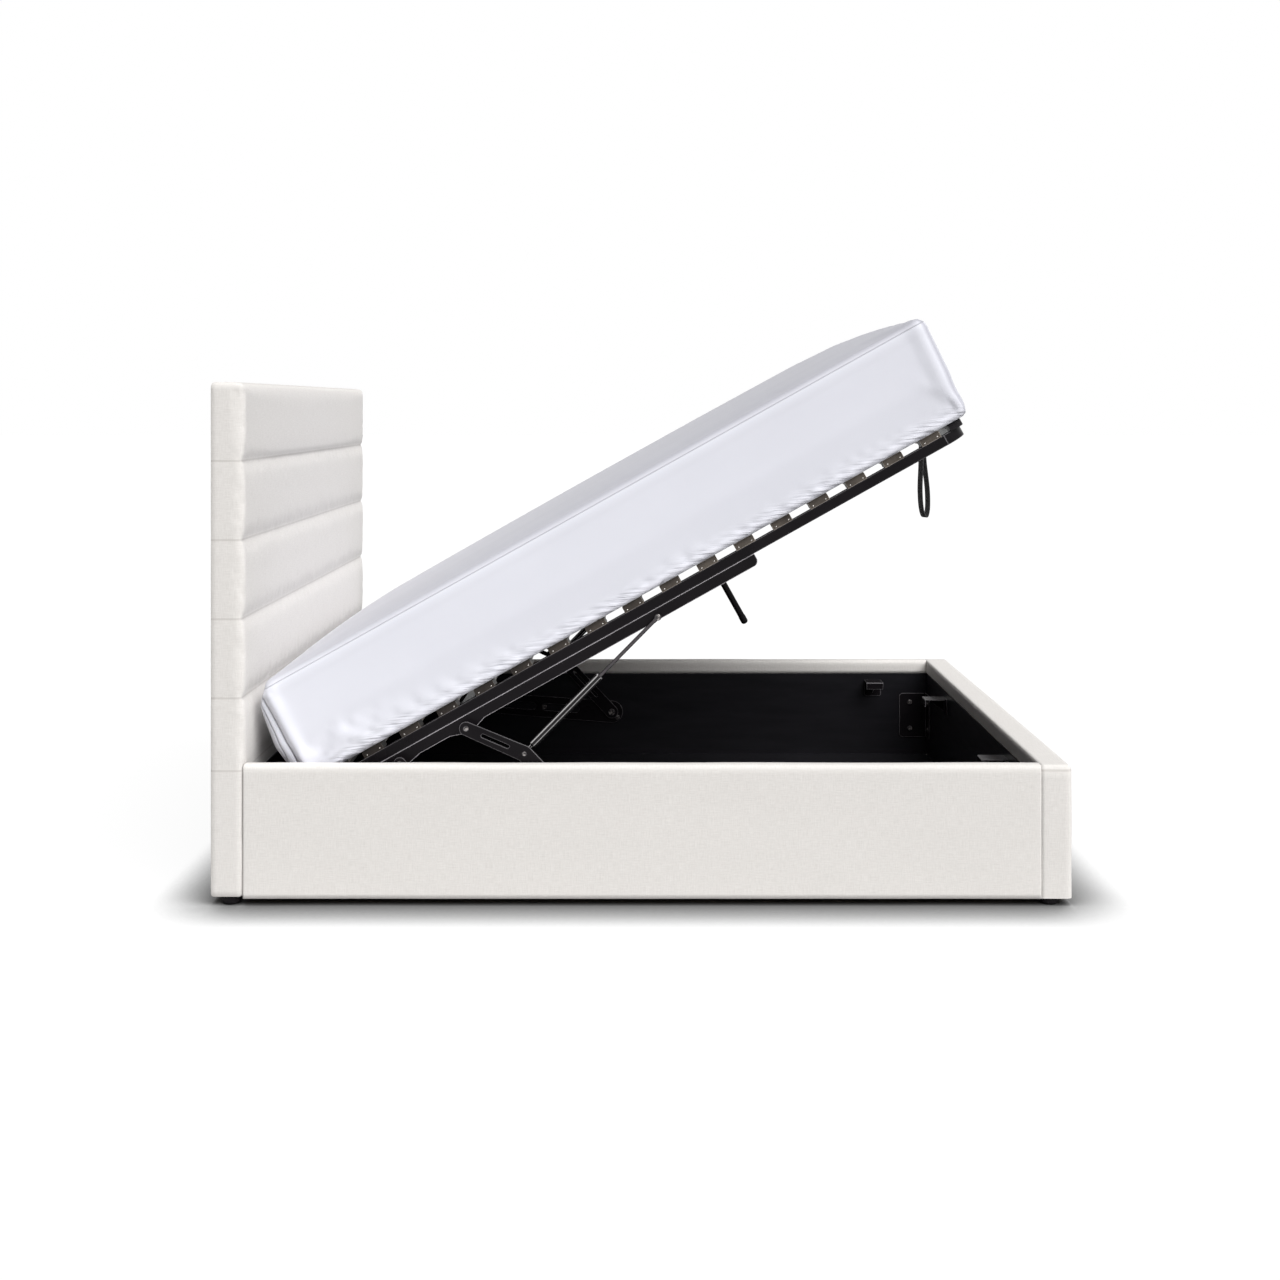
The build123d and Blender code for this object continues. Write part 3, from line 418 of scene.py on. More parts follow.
def side_rail(name, node, side):
    """One side rail's cover: outside, top and the turned-down strip inside."""
    low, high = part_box(node)
    lining_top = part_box("storage_linings")[1].z
    bm = lattice(low - end_overlap, high + end_overlap, spacing=0.012, seams=[lining_top])
    drop_faces(bm, lambda normal: abs(normal.x) > 0.9 or normal.z < -0.9)
    inner = [face for face in bm.faces
             if face.normal.y * side < -0.5 and face.calc_center_median().z < lining_top]
    bmesh.ops.delete(bm, geom=inner, context="FACES")
    for vertex in bm.verts:
        vertex.co.x = min(max(vertex.co.x, low.x), high.x)
    bmesh.ops.remove_doubles(bm, verts=bm.verts, dist=0.0005)
    # Past the rail's ends and base, so that only the long edges of its top are rounded.
    wide_low = Vector((low.x - 0.1, low.y, low.z - 0.1))
    wide_high = Vector((high.x + 0.1, high.y, high.z))
    for vertex in bm.verts:
        place, out = round_off(vertex.co, wide_low, wide_high, rail_radius)
        from_end = min(vertex.co.x - low.x, high.x - vertex.co.x)
        draw = end_roll * max(0.0, 1 - from_end / end_roll) ** 2
        wave = noise.noise(Vector((place.x * 4, place.y * 4 + side, place.z * 7)))
        vertex.co = place + out * (min(wave * rail_ripple, rail_swell) - draw)
    rail = add_piece(name, bm, linen)
    thicken = rail.modifiers.new("cloth and foam", "SOLIDIFY")
    thicken.thickness = cover_thick
    thicken.offset = -1
    lay_threads(rail)
    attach(rail, "bed_base")
    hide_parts(node)


side_rail("side_rail_cloth_left", "side_rail_cover_left", 1)
side_rail("side_rail_cloth_right", "side_rail_cover_right", -1)


# Foot rail: a thicker padded board as wide as the whole bed. Its ends are boxed: a sewn
# panel closes each one, with a seam down its inner edge and across its top.
foot_low, foot_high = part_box("foot_rail_cover")
foot_radius = 0.013
foot_ripple = 0.0012
foot_swell = 0.0009
box_seam_inset = 0.006
box_seam_top = 0.014
box_seam_half_wide = 0.0025
side_groove = 0.0008
top_groove = 0.0026


def boxed_look(wire):
    """The same linen, with the seam across the top of each boxed end."""
    up, side = wire.object_place("Z"), wire.object_place("Y")
    at_end = side.maths("GREATER_THAN", side.maths("ABSOLUTE", side), foot_high.y - 0.012)
    return linen_look(wire, line_at(up - (foot_high.z - box_seam_top), 0.004) * at_end)


boxed_linen = make_finish("boxed_linen", boxed_look, linen_touch)


def foot_rail_place(point):
    """A place on the foot rail, sharp inside, with grooves where the end panels are sewn."""
    wide_low = Vector((foot_low.x - foot_radius * 0.7, foot_low.y, foot_low.z - 0.1))
    place, out = round_off(point, wide_low, foot_high, foot_radius)
    place.x = max(place.x, foot_low.x)
    wave = noise.noise(Vector((point.x * 5, point.y * 4, point.z * 6 + 9)))
    dip = 0.0
    if abs(out.y) > 0.6:
        across = (point.x - foot_low.x - box_seam_inset) / box_seam_half_wide
        down = (foot_high.z - box_seam_top - point.z) / box_seam_half_wide
        dip = max(side_groove * exp(-across ** 2), top_groove * exp(-down ** 2))
    return place + out * (min(wave * foot_ripple, foot_swell) - dip)


bm = lattice(foot_low, foot_high, spacing=0.010, seams=[foot_high.z - box_seam_top])
drop_faces(bm, lambda normal: normal.z < -0.9)
lining_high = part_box("storage_linings")[1]
inner = [face for face in bm.faces if face.normal.x < -0.5
         and face.calc_center_median().z < lining_high.z
         and abs(face.calc_center_median().y) < lining_high.y - 0.004]
bmesh.ops.delete(bm, geom=inner, context="FACES")
for vertex in bm.verts:
    vertex.co = foot_rail_place(vertex.co)
foot_rail_cloth = add_piece("foot_rail_cloth", bm, boxed_linen)
lay_threads(foot_rail_cloth)
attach(foot_rail_cloth, "bed_base")
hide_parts("foot_rail_cover")


# Storage space: boards faced with black laminate line the walls and make the floor. The
# laminate is smooth and a little glossy, with scuffs from what has been kept in it.
def laminate_look(wire):
    """Black laminate: a fine leathery emboss and fine scuffs."""
    scuffs = wire.grain(wire.coordinates((4, 4, 30)), detail=6.0, roughness=0.7)
    emboss = wire.grain(wire.coordinates((260, 260, 260)), detail=2.0)
    rough = 0.22 + scuffs * 0.20
    return {"Base Color": scuffs.tint((0.004, 0.004, 0.005, 1), (0.014, 0.013, 0.016, 1)),
            "Roughness": rough, "Normal": emboss.dent(0.00005)}


laminate = make_finish("black_laminate", laminate_look, {"IOR": 1.3})
give_finish(laminate, "storage_linings", "floor_panels")


# Steel parts of the box: the floor's bars, brackets, bolts and shelves. These and the frame
# are mild steel under a satin black powder coat, a little orange-peeled, with its edges drawn
# paler, partly as rubbed wear and partly as painted highlight. The deck is the raised frame's own
# space, with its head end at the start.
lift_angle = 29.2
head_inset = 0.143
head_rise = 0.299
raised_head = Vector((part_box("storage_linings")[0].x + head_inset, 0.0, head_rise))
deck = Matrix.Translation(raised_head) @ Matrix.Rotation(radians(-lift_angle), 4, "Y")
deck_along = deck.to_3x3() @ Vector((1, 0, 0))
deck_up = deck.to_3x3() @ Vector((0, 0, 1))


def edge_wear_and_glint(wire, reach):
    """One along outer and inner edges, and zero from the reach on."""
    facing = wire.soft_edge(reach, samples=8).dot(wire.node("NewGeometry", output="True Normal"))
    return (1.0 - facing).ramp((0.02, 0.0), (0.28, 1.0))


def steel_look(wire, wear_and_glint_strength=1.0):
    """Powder coat: orange peel, faint cloudiness, edges drawn paler as rubbed wear and painted
    highlight, and painted highlight on rounded shoulders.
    """
    peel = wire.grain(wire.coordinates((420, 420, 420)), detail=2.0)
    cloud = wire.grain(wire.coordinates((9, 9, 9)), detail=4.0)
    normal = wire.node("TexCoord", output="Normal")
    # Painted highlight: shoulders rounded along the deck are drawn paler, as if they caught the
    # light.
    both = normal.dot(deck_up) * normal.dot(Vector((0, 1, 0)))
    painted_shoulder_highlight = wire.maths("POWER", wire.maths("ABSOLUTE", both) * 2.0, 3.0)
    # Edges drawn paler: partly rubbed wear, partly painted highlight.
    wear_and_glint = edge_wear_and_glint(wire, reach=0.0045) * (0.06 + cloud * 0.28) * wear_and_glint_strength
    shade = cloud * 0.008 + wear_and_glint + painted_shoulder_highlight * 0.22
    rough = 0.20 + cloud * 0.2
    return {"Base Color": shade.tint((0.004, 0.003, 0.004, 1), (1.0, 0.95, 1.0, 1)),
            "Roughness": rough, "Normal": peel.dent(0.00005, wire.soft_edge(0.0020, samples=6))}


def glinting_edges_look(wire):
    """The angle irons' long edges are drawn nearly bright: rubbed wear with a strong painted
    highlight.
    """
    return steel_look(wire, wear_and_glint_strength=4.0)


coat_gloss = {"IOR": 1.17}
steel = make_finish("black_steel", steel_look, coat_gloss)
rubbed_steel = make_finish("rubbed_steel", glinting_edges_look, coat_gloss)
edge_radius = 0.0012


def pin_look(wire):
    """Turned and zinc-blackened pins: bright where they have been worn."""
    wear = wire.grain(wire.coordinates((150, 150, 150)), detail=4.0)
    bright = wear.ramp((0.45, 0.0), (0.62, 1.0))
    return {"Base Color": bright.tint((0.035, 0.032, 0.034, 1), (0.42, 0.39, 0.38, 1)),
            "Metallic": bright * 0.6 + 0.3, "Roughness": 0.22 + wear * 0.18,
            "Normal": wear.dent(0.00004, wire.soft_edge(edge_radius))}


pins = make_finish("dark_pins", pin_look, {})
give_finish(steel, "floor_supports", "corner_brackets", "rest_shelves")
give_finish(pins, "corner_bolts", "hinge_plate_screws")


# Feet and glides: low feet under the corners and glides under the middle of the floor,
# injection-moulded in black plastic with a fine spark texture.
def plastic_look(wire):
    """Black moulded plastic with a spark-eroded texture."""
    spark = wire.grain(wire.coordinates((900, 900, 900)), detail=2.0)
    flow = wire.grain(wire.coordinates((30, 30, 30)), detail=3.0)
    rough = 0.34 + flow * 0.22
    return {"Base Color": flow.tint((0.006, 0.005, 0.006, 1), (0.020, 0.018, 0.020, 1)),
            "Roughness": rough, "Normal": spark.dent(0.00006, wire.soft_edge(edge_radius))}


plastic = make_finish("black_plastic", plastic_look, {"IOR": 1.18})
give_finish(plastic, "corner_feet", "floor_glides")


# Lift mechanism: pressed plates on the rails carry two pins a side. The bent front arms and
# the shorter rear links turn on them, and the gas struts push between arm and frame.
give_finish(steel, "hinge_plate_left", "hinge_plate_right", "front_arm_left", "front_arm_right",
            "rear_link_left", "rear_link_right")
give_finish(pins, "hinge_pins_left", "hinge_pins_right", "knee_pin_left", "knee_pin_right",
            "rear_link_pin_left", "rear_link_pin_right", "rod_pin_left", "rod_pin_right",
            "arm_studs")
strut_slope = radians(45.5)


def cylinder_look(wire):
    """Gloss black paint on a drawn tube, with two long streaks of painted highlight."""
    drawn = wire.grain(wire.coordinates((60, 60, 60)), detail=3.0)
    across = Vector((-sin(strut_slope), 0, cos(strut_slope)))
    turned = wire.node("TexCoord", output="Normal").dot(across)
    # Painted highlight: two streaks, set by which way the tube's surface faces.
    streaks = line_at(turned - 0.62, 0.20) + line_at(turned + 0.30, 0.14) * 0.8
    shade = drawn * 0.02 + streaks * 0.75
    rough = 0.14 + drawn * 0.10
    return {"Base Color": shade.tint((0.006, 0.005, 0.006, 1), (0.80, 0.78, 0.78, 1)),
            "Roughness": rough, "Normal": drawn.dent(0.00003)}


strut_paint = make_finish("strut_paint", cylinder_look, {"IOR": 1.25})


def rod_look(wire):
    """Nitrided rod: dark, hard and polished, with a trace of oil."""
    oil = wire.grain(wire.coordinates((90, 90, 90)), detail=3.0)
    return {"Base Color": oil.tint((0.04, 0.036, 0.04, 1), (0.13, 0.12, 0.125, 1)),
            "Roughness": 0.10 + oil * 0.12}


rod_steel = make_finish("rod_steel", rod_look, {"Metallic": 1.0})
give_finish(strut_paint, "gas_cylinder_left", "gas_cylinder_right")
give_finish(rod_steel, "gas_rod_left", "gas_rod_right")


# Slatted frame: square tube bent at the corners, with a beam down the middle, crossbars and
# an angle iron under each side. It is drawn raised, turned up about the bed's head end.
give_finish(steel, "side_tube_left", "side_tube_right", "head_tube", "foot_tube", "corner_bends",
            "centre_beam", "crossbars", "centre_leg", "strap_clip")
give_finish(rubbed_steel, "angle_iron_left", "angle_iron_right")


# Slats: steamed laths of brown film-faced birch, pressed in a bow. Their ends sit in
# moulded caps, each held down on the tube by two bright rivets.
def slat_look(wire):
    """Brown wood film: fine streaks along the lath."""
    level = (0, radians(lift_angle), 0)
    streaks = wire.grain(wire.coordinates((160, 5, 160), level), detail=4.0)
    broad = wire.grain(wire.coordinates((30, 2, 30)), detail=2.0)
    shade = (streaks - 0.5) * 1.6 + (broad - 0.5) * 0.8 + 0.5
    rough = 0.32 + streaks * 0.2
    return {"Base Color": shade.tint((0.105, 0.072, 0.050, 1), (0.34, 0.26, 0.19, 1)),
            "Roughness": rough, "Normal": streaks.dent(0.00006, wire.soft_edge(edge_radius))}


slat_wood = make_finish("slat_wood", slat_look, {"Coat Weight": 0.15, "Coat Roughness": 0.2})
give_finish(slat_wood, "slats_left", "slats_right")


def cap_look(wire):
    """Moulded brown-black caps: edges paler with wear and painted highlight, and painted light
    that darkens them near the head.
    """
    spark = wire.grain(wire.coordinates((900, 900, 900)), detail=2.0)
    flow = wire.grain(wire.coordinates((14, 3, 14)), detail=3.0)
    # Painted light: the caps are drawn darker near the head and paler toward the foot.
    painted_light_toward_foot = wire.node("MapRange", {}, {
        "Value": wire.object_place("X"), "From Min": -0.35, "From Max": 0.25, "To Min": 0.25})
    # Edges drawn paler: partly wear, partly painted highlight.
    wear_and_glint = edge_wear_and_glint(wire, reach=0.0035) * (flow * 1.1 + 0.1)
    shade = ((flow - 0.5) * 0.35 + 0.12 + wear_and_glint) * painted_light_toward_foot
    rough = 0.36 + flow * 0.2
    return {"Base Color": shade.tint((0.012, 0.009, 0.008, 1), (0.62, 0.53, 0.44, 1)),
            "Roughness": rough, "Normal": spark.dent(0.00006, wire.soft_edge(edge_radius))}


cap_plastic = make_finish("cap_plastic", cap_look, {"IOR": 1.3})
give_finish(cap_plastic, "slat_caps", "centre_caps")

slat_pitch = 0.113
first_slat = 0.0885
slat_count = 17
rivet_radius = 0.0023
rivet_spread = 0.019
rivet_drop = 0.0145


def rivet(bm, place, outward):
    """One domed rivet head, seated with its back on the plane that faces outward."""
    turn = outward.to_track_quat("Z", "Y").to_matrix().to_4x4()
    made = bmesh.ops.create_uvsphere(bm, u_segments=10, v_segments=6, radius=rivet_radius,
                                     matrix=Matrix.Translation(place) @ turn)
    flat = Matrix.Translation(place) @ turn @ Matrix.Diagonal((1, 1, 0.5, 1)) @ turn.inverted() \
        @ Matrix.Translation(-place)
    bmesh.ops.transform(bm, matrix=flat, verts=made["verts"])


def bright_look(wire):
    """Bright zinc with a soft haze."""
    haze = wire.grain(wire.coordinates((300, 300, 300)), detail=2.0)
    return {"Base Color": haze.tint((0.30, 0.28, 0.27, 1), (0.58, 0.55, 0.52, 1)),
            "Roughness": 0.16 + haze * 0.16}


bright_zinc = make_finish("bright_zinc", bright_look, {"Metallic": 1.0})
cap_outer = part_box("slat_caps")[1].y
bm = bmesh.new()
for step in range(slat_count):
    for side in (-1, 1):
        for shift in (-rivet_spread, rivet_spread):
            local = Vector((first_slat + slat_pitch * step + shift, side * cap_outer, -rivet_drop))
            rivet(bm, deck @ local, Vector((0, side, 0)))
cap_rivets = add_piece("cap_rivets", bm, bright_zinc)
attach(cap_rivets, "slatted_frame")


# Stops and leg tip: black plastic blocks at the foot end's corners keep the mattress from
# sliding down the raised frame, and a rounded tip ends the leg under the middle beam.
give_finish(plastic, "stop_blocks", "leg_tip")


# Pull strap: a band of black webbing, doubled and sewn. It goes round the pin of a clip at
# the foot end, and hangs open in a long loop that a hand can take.
strap_wide = 0.026
strap_thick = 0.0024
strap_twist = radians(24)


def webbing_look(wire):
    """Woven polypropylene tape: ribs across the band."""
    ribs = wire.node("TexWave", {"wave_type": "BANDS", "bands_direction": "Y"},
                     {"Vector": wire.cloth(1, 1), "Scale": 190.0})
    fine = wire.grain(wire.cloth(900, 900))
    height = ribs * 0.7 + fine * 0.3
    return {"Base Color": height.tint((0.006, 0.006, 0.007, 1), (0.030, 0.029, 0.031, 1)),
            "Normal": height.dent(0.0004)}


webbing = make_finish("webbing", webbing_look, {"Roughness": 0.7, "Sheen Weight": 0.3})
strap_low, strap_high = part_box("pull_strap")
strap_ring = 0.007
clip_pin = deck @ Vector((2.006, 0, -0.052))
strap_pin = Vector((clip_pin.x, 0.0, strap_high.z - strap_ring))
strap_fold_room = 0.004
strap_drop = strap_high.z - strap_low.z - strap_ring - strap_fold_room
strap_close = 0.0044
strap_bow = 0.0116
strap_lean = 0.011
strap_twist_run = 0.08
strap_split_share = 0.30
strap_bow_share = 0.74


def strap_leg(side, share):
    """Middle line of one leg of the strap, share 0 at the pin and 1 at the fold."""
    spread = strap_close
    if share > strap_split_share:
        opening = min(1.0, (share - strap_split_share) / (strap_bow_share - strap_split_share))
        spread += (strap_bow - strap_close) * opening * opening * (3 - 2 * opening)
    if share > strap_bow_share:
        closing = (share - strap_bow_share) / (1 - strap_bow_share)
        spread *= max(0.0, 1 - closing ** 2.6) ** 0.5
    lean = strap_lean * max(0.0, share - strap_split_share)
    return Vector((strap_pin.x + side * spread + lean, 0.0, strap_pin.z - share * strap_drop))


def strap_line():
    """Points along the strap's middle, down one leg, round the fold and up the other."""
    steps, ring_steps = 48, 8
    shares = [sin(pi / 2 * step / steps) for step in range(steps + 1)]
    down = [strap_leg(-1, share) for share in shares]
    up = [strap_leg(1, share) for share in reversed(shares[:-1])]
    turns = [pi * step / ring_steps for step in range(1, ring_steps)]
    top = [strap_pin + Vector((cos(turn), 0, sin(turn))) * strap_close for turn in turns]
    return down + up + top


bm = bmesh.new()
line = strap_line()
rings = []
for index, point in enumerate(line):
    ahead = line[(index + 1) % len(line)] - line[index - 1]
    along = Vector((ahead.x, 0, ahead.z)).normalized()
    hang = min(1.0, max(0.0, (strap_pin.z - point.z) / strap_twist_run))
    across = Matrix.Rotation(strap_twist * hang, 3, "Z") @ Vector((0, 1, 0))
    out = along.cross(across).normalized()
    rings.append([
        bm.verts.new(point + across * wide * strap_wide / 2 + out * thick * strap_thick / 2)
        for wide, thick in ((-1, -1), (1, -1), (1, 1), (-1, 1))])
for ring, after in zip(rings, rings[1:] + rings[:1]):
    for side in range(4):
        bm.faces.new((ring[side], ring[(side + 1) % 4], after[(side + 1) % 4], after[side]))
bmesh.ops.recalc_face_normals(bm, faces=bm.faces)
pull_band = add_piece("pull_band", bm, webbing)
edge = pull_band.modifiers.new("soft edge", "BEVEL")
edge.width = 0.0008
edge.segments = 2
edge.limit_method = "ANGLE"
lay_threads(pull_band)
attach(pull_band, "pull_strap")
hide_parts("pull_strap")


# Mattress: a sprung block in a stretched, pale cover. The cover is gathered by elastic
# along its lower edge, and folded over itself at the corners of the head end.
seam_height = 0.271
mattress_long = 2.030
mattress_wide = 1.530
mattress_high = 0.283
corner_radius = 0.036
head_corner_radius = 0.045
long_radius = 0.020
foot_radius_top = 0.026
head_radius = 0.062
low_radius = 0.020
foot_radius_low = 0.042
crown_long = 0.009
crown_wide = 0.018
crown_run = 0.25
belly_share = 0.42
belly_out = 0.006
belly_in = 0.004
head_bulge = 0.030
foot_lean = 0.027
foot_lean_run = 0.25
foot_lean_from = 0.25
seat_gap = 0.0006
base_edge = 0.012
gather_height = 0.0046
gather_slant = radians(13)
gather_fade = 0.027
gather_top = 0.062
fold_top = 0.27
fold_reach = 0.07
fold_inset = mattress_wide / 2 - 0.035


def deck_measure(wire, axis):
    """How far a place is from the deck's head end, in metres, along one of its axes."""
    return wire.node("TexCoord", output="Object").dot(axis) - raised_head.dot(axis)


def cover_look(wire):
    """Knitted jersey: fine stitches, a seam round the top, gathers below, folds at the head, and
    painted shade in the gathers and folds, on the top, at the foot's edge and toward the foot.
    """
    along = deck_measure(wire, deck_along)
    up = deck_measure(wire, deck_up)
    stitch = wire.grain(wire.cloth(1400, 700), detail=1.0)
    pull = wire.grain(wire.cloth(3, 6), detail=3.0)
    slanting = wire.node("Mapping", {}, {
        "Vector": wire.cloth(1, 1), "Rotation": (0, 0, radians(24))})
    long_thin = wire.node("Mapping", {}, {"Vector": slanting, "Scale": (11, 120, 1)})
    strokes = wire.grain(long_thin, detail=2.0)
    patches = wire.grain(wire.cloth(6, 1), detail=1.0)
    low = line_at(up, 0.052)
    creased = low * low * patches.ramp((0.35, 0.25), (0.6, 1.0))
    sharp = strokes.ramp((0.36, 0.0), (0.56, 1.0))
    seam = line_at(up - seam_height, 0.0022)
    wander = (wire.grain(wire.cloth(0.01, 9), detail=1.0) - 0.5) * 0.012
    edge_fold = line_at(along - wander - 0.016, 0.0040)
    back_fold = line_at(along - wander + 0.012 - up * 0.06, 0.003) * 0.8
    fold = (edge_fold + back_fold) * (1.0 - line_at(up - 0.30, 0.060))
    height = stitch * 0.05 + pull * 0.8 + sharp * creased * 3.0 - seam * 1.5 - fold * 4.0
    # Painted shade: the hollows between the gathers and the folds at the head are drawn darker;
    # the seam line is darker too.
    dark = (1.0 - sharp) * creased * 0.9 + seam * 0.45 + fold * 0.9
    # Painted shade: the top above the seam is drawn darker.
    painted_shade_on_top = up.node("MapRange", {}, {
        "Value": up, "From Min": seam_height, "From Max": seam_height + 0.012, "To Max": 0.55})
    # Painted shade along the rounded edge of the foot end.
    footward = wire.node("TexCoord", output="Normal").dot(deck_along)
    painted_shade_at_foot_edge = line_at(footward - 0.72, 0.36) * 0.70
    knit = (stitch - 0.5) * 0.25 + (pull - 0.5) * 0.16
    # Painted shade: the cover is drawn darker toward the foot, by along * 0.09.
    shade = knit + 0.90 - dark - painted_shade_on_top - painted_shade_at_foot_edge - along * 0.09
    return {"Base Color": shade.tint((0.45, 0.45, 0.50, 1), (0.83, 0.835, 0.90, 1)),
            "Normal": height.dent(0.0012)}


jersey = make_finish("jersey", cover_look, {
    "Roughness": 0.62, "Specular IOR Level": 0.3, "Sheen Weight": 0.2, "Sheen Roughness": 0.4})


def plan_round(x, y):
    """A place in the mattress's plan with the corners rounded, and the way out there."""
    half_x, half_y = mattress_long / 2, mattress_wide / 2
    radius = corner_radius if x > 0 else head_corner_radius
    core_x = min(max(x, -half_x + radius), half_x - radius)
    core_y = min(max(y, -half_y + radius), half_y - radius)
    dx, dy = x - core_x, y - core_y
    reach = hypot(dx, dy)
    if reach < 1e-9:
        return x, y, 0.0, 0.0, 0.0
    scale = max(abs(dx), abs(dy)) / reach
    depth = radius - reach * scale
    return core_x + dx * scale, core_y + dy * scale, dx / reach, dy / reach, depth


def edge_depth(x, y):
    """How far in from the edge of the plan a place is, and the way out to that edge."""
    new_x, new_y, out_x, out_y, depth = plan_round(x, y)
    if out_x or out_y:
        return new_x, new_y, out_x, out_y, depth
    sides = ((mattress_long / 2 - x, 1, 0), (x + mattress_long / 2, -1, 0),
             (mattress_wide / 2 - y, 0, 1), (y + mattress_wide / 2, 0, -1))
    depth, out_x, out_y = min(sides)
    return x, y, out_x, out_y, depth


def mattress_place(point):
    """A place on the mattress, drawn flat: crowned, rounded, and bellied above its base."""
    x, y, out_x, out_y, depth = edge_depth(point.x, point.y)
    share = point.z / mattress_high
    top_radius = long_radius
    if out_x < 0:
        top_radius += (head_radius - long_radius) * out_x * out_x
    if out_x > 0:
        top_radius += (foot_radius_top - long_radius) * out_x * out_x
    z = point.z
    bottom_radius = low_radius + (foot_radius_low - low_radius) * max(0.0, out_x) ** 2
    radius = top_radius if share > 0.5 else bottom_radius
    from_face = mattress_high - z if share > 0.5 else z
    in_x, in_z = min(depth - radius, 0.0), min(from_face - radius, 0.0)
    reach = hypot(in_x, in_z)
    if reach > radius * 0.999 and in_x < 0 and in_z < 0:
        slide = -in_x / reach * radius
        push = radius - slide - depth
        rise = radius + in_z / reach * radius
        x -= out_x * push
        y -= out_y * push
        z = mattress_high - rise if share > 0.5 else rise
    belly = belly_out * (1 - abs(share - belly_share) / 0.58) - belly_in
    if depth < 0.002:
        bulge = head_bulge * max(0.0, -out_x)
        x += out_x * belly - bulge * max(0.0, 1 - abs(share - belly_share) / 0.52) ** 0.4
        y += out_y * belly
    if share > 0.5:
        lift = (crown_long * (1 - (2 * x / mattress_long) ** 2)
                + crown_wide * (1 - (2 * y / mattress_wide) ** 2))
        z += lift * max(0.0, min(1.0, depth / crown_run)) ** 0.5
    near_foot = max(0.0, (x - mattress_long / 2) / foot_lean_run + 1)
    x += foot_lean * near_foot * near_foot * max(0.0, share - foot_lean_from)
    return Vector((x + mattress_long / 2, y, z + seat_gap))


def edge_hold(place):
    """The elastic holds the cover under the mattress, and the block holds its flat base."""
    return 1.0 if place.z < base_edge else 0.0


bm = lattice((-mattress_long / 2, -mattress_wide / 2, 0),
             (mattress_long / 2, mattress_wide / 2, mattress_high), spacing=0.0202)
for vertex in bm.verts:
    vertex.co = mattress_place(vertex.co)
mattress = add_piece("mattress_cover", bm, jersey)
fill_out(mattress, edge_hold, pressure=2.0, cap=0.008, slack=0.004)


def gathers(place, out):
    """Height of the cover's creases: slanting gathers above the elastic, folds at the head."""
    along, up = place.x, place.z
    fold = 0.0
    if abs(out.y) > 0.2 and 0.03 < up < 0.25:
        hollow = exp(-((along - 0.016) / 0.009) ** 2)
        ridge = exp(-((along - 0.038) / 0.012) ** 2)
        fold = 0.0055 * hollow - 0.0035 * ridge
    if abs(out.y) < abs(out.x):
        along = place.y
    run = along * cos(gather_slant) + up * sin(gather_slant)
    cross = up * cos(gather_slant) - along * sin(gather_slant)
    waves = noise.noise(Vector((run * 9, cross * 75, 2.0 + (out.y > 0))))
    patches = 0.5 + 0.5 * noise.noise(Vector((along * 3.1, 7.0, 0.5)))
    fade = exp(-((up - 0.010) / gather_fade) ** 2)
    return gather_height * waves * fade * patches - fold


def is_creased(place):
    """Whether a place is among the gathers above the elastic, or the folds at the head."""
    gathered = 0.004 < place.z < gather_top
    folded = place.x < fold_reach and abs(place.y) > fold_inset and 0.0 < place.z < fold_top
    return gathered or folded


def ease(piece):
    """Divides a mesh once, finer where it is creased, and then presses the gathers into it."""
    bm = bmesh.new()
    bm.from_mesh(piece.data)
    bmesh.ops.subdivide_edges(bm, edges=bm.edges, cuts=1, use_grid_fill=True, smooth=1.0)
    creased = [edge for edge in bm.edges if all(is_creased(vertex.co) for vertex in edge.verts)]
    bmesh.ops.subdivide_edges(bm, edges=creased, cuts=1, use_grid_fill=True, smooth=1.0)
    bm.normal_update()
    moves = [vertex.normal * gathers(vertex.co, vertex.normal)
             if abs(vertex.normal.z) < 0.8 else Vector() for vertex in bm.verts]
    for vertex, move in zip(bm.verts, moves):
        vertex.co += move
    bm.to_mesh(piece.data)
    bm.free()


ease(mattress)
lay_threads(mattress)
mattress.data.transform(deck)
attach(mattress, "slatted_frame")
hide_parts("mattress")


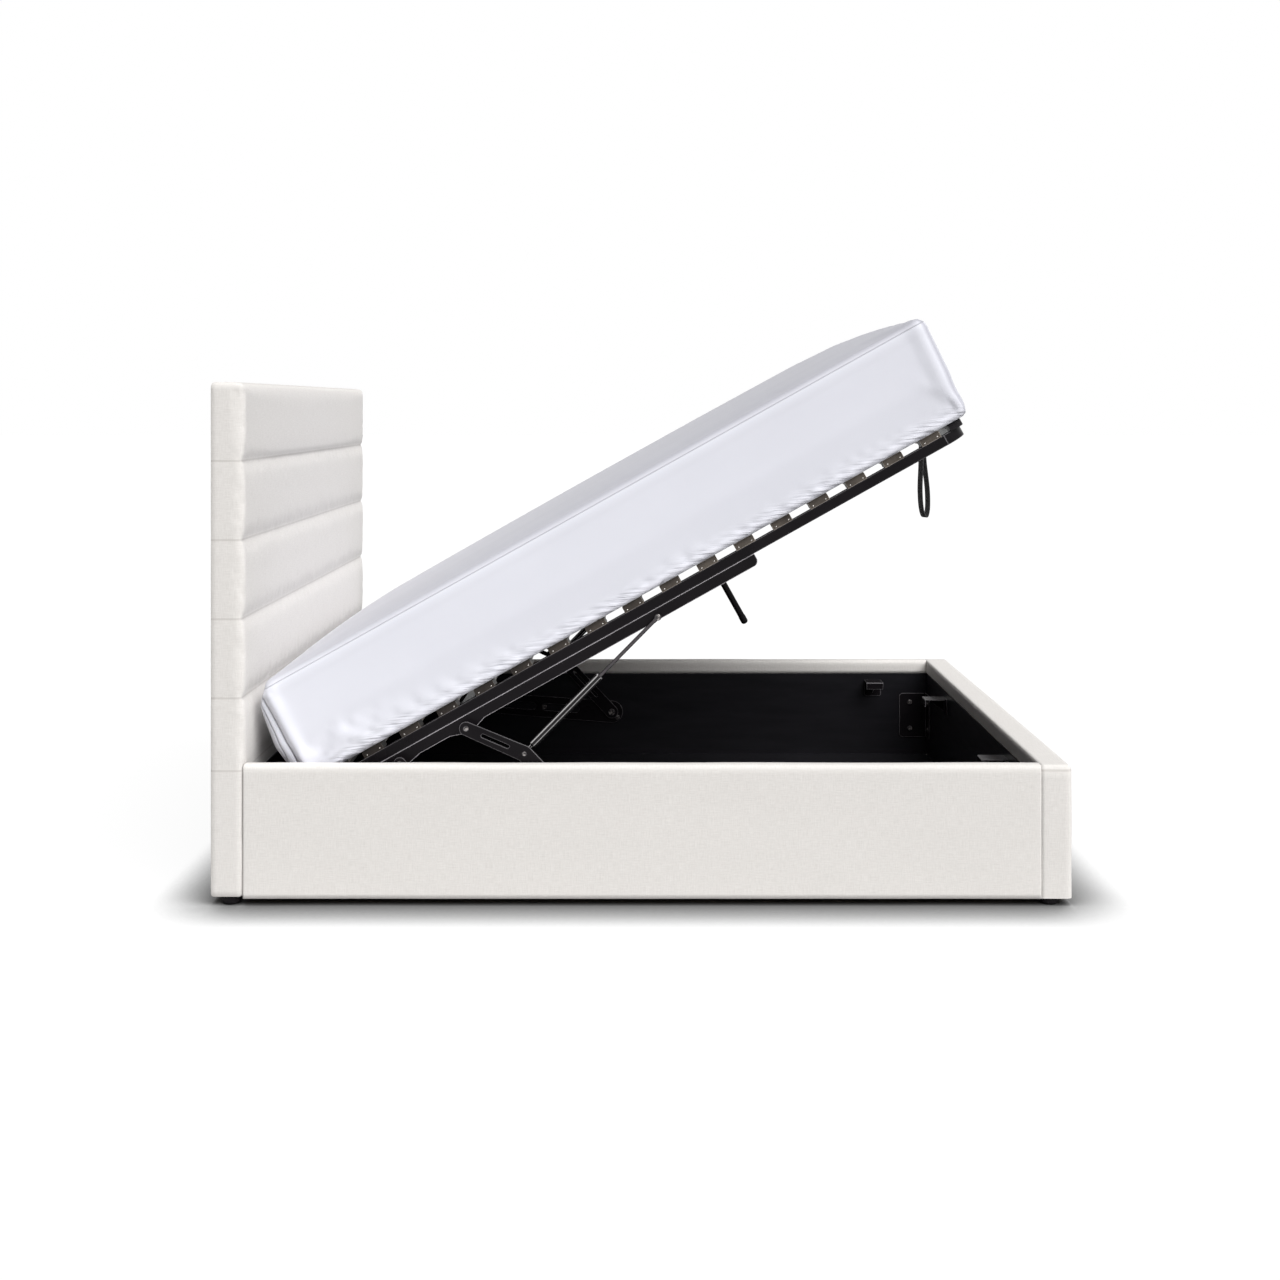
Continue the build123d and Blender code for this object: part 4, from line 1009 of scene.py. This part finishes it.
# Stage: a plain pale floor that runs out of sight, under a white sky. What the camera sees
# of the floor is white, but for the shadow that the bed keeps close round its foot.
def background_ray(wire):
    """One for rays from the camera, in gloss or in glass, and zero for all others."""
    seen = wire.node("LightPath", output="Is Camera Ray")
    gloss = wire.node("LightPath", output="Is Glossy Ray")
    clear = wire.node("LightPath", output="Is Transmission Ray")
    return seen.maths("MAXIMUM", seen, gloss.maths("MAXIMUM", gloss, clear))


shadow_reach = 0.175
shadow_power = 3.6
floor_size = 60.0
floor_finish = bpy.data.materials.new("floor")
floor_finish.use_nodes = True
tree = floor_finish.node_tree
wire = Wire(tree)
nearness = wire.node("AmbientOcclusion", {"samples": 12}, {"Distance": shadow_reach}, output="AO")
grey = nearness.maths("POWER", nearness, shadow_power) * 0.93
white = wire.node("Emission", {}, {"Color": (1, 1, 1, 1), "Strength": grey})
thin = wire.node("BsdfDiffuse", {}, {"Color": (0.10, 0.10, 0.10, 1)})
shown = wire.node("AddShader", {}, {0: white, 1: thin})
pale = wire.node("BsdfDiffuse", {}, {"Color": (0.42, 0.42, 0.42, 1)})
surface = wire.node("MixShader", {}, {0: background_ray(wire), 1: pale, 2: shown})
tree.links.new(surface.output, tree.nodes["Material Output"].inputs["Surface"])

bm = bmesh.new()
bmesh.ops.create_grid(bm, x_segments=1, y_segments=1, size=floor_size)
studio_floor = add_piece("floor", bm, floor_finish)

world = bpy.data.worlds.new("studio")
bpy.context.scene.world = world
world.use_nodes = True
ambient = 0.13
sky = world.node_tree.nodes["Background"]
sky.inputs["Color"].default_value = (1, 1, 1, 1)
level = background_ray(Wire(world.node_tree)) * (1.0 - ambient) + ambient
world.node_tree.links.new(level.output, sky.inputs["Strength"])

toward_sun = Vector((0.378, -0.536, 0.755))
sun = bpy.data.objects.new("sun", bpy.data.lights.new("sun", "SUN"))
bpy.context.scene.collection.objects.link(sun)
sun.rotation_euler = toward_sun.to_track_quat("Z", "Y").to_euler()
sun.data.energy = 4.1
sun.data.angle = radians(50)

bpy.context.scene.view_settings.view_transform = "Standard"
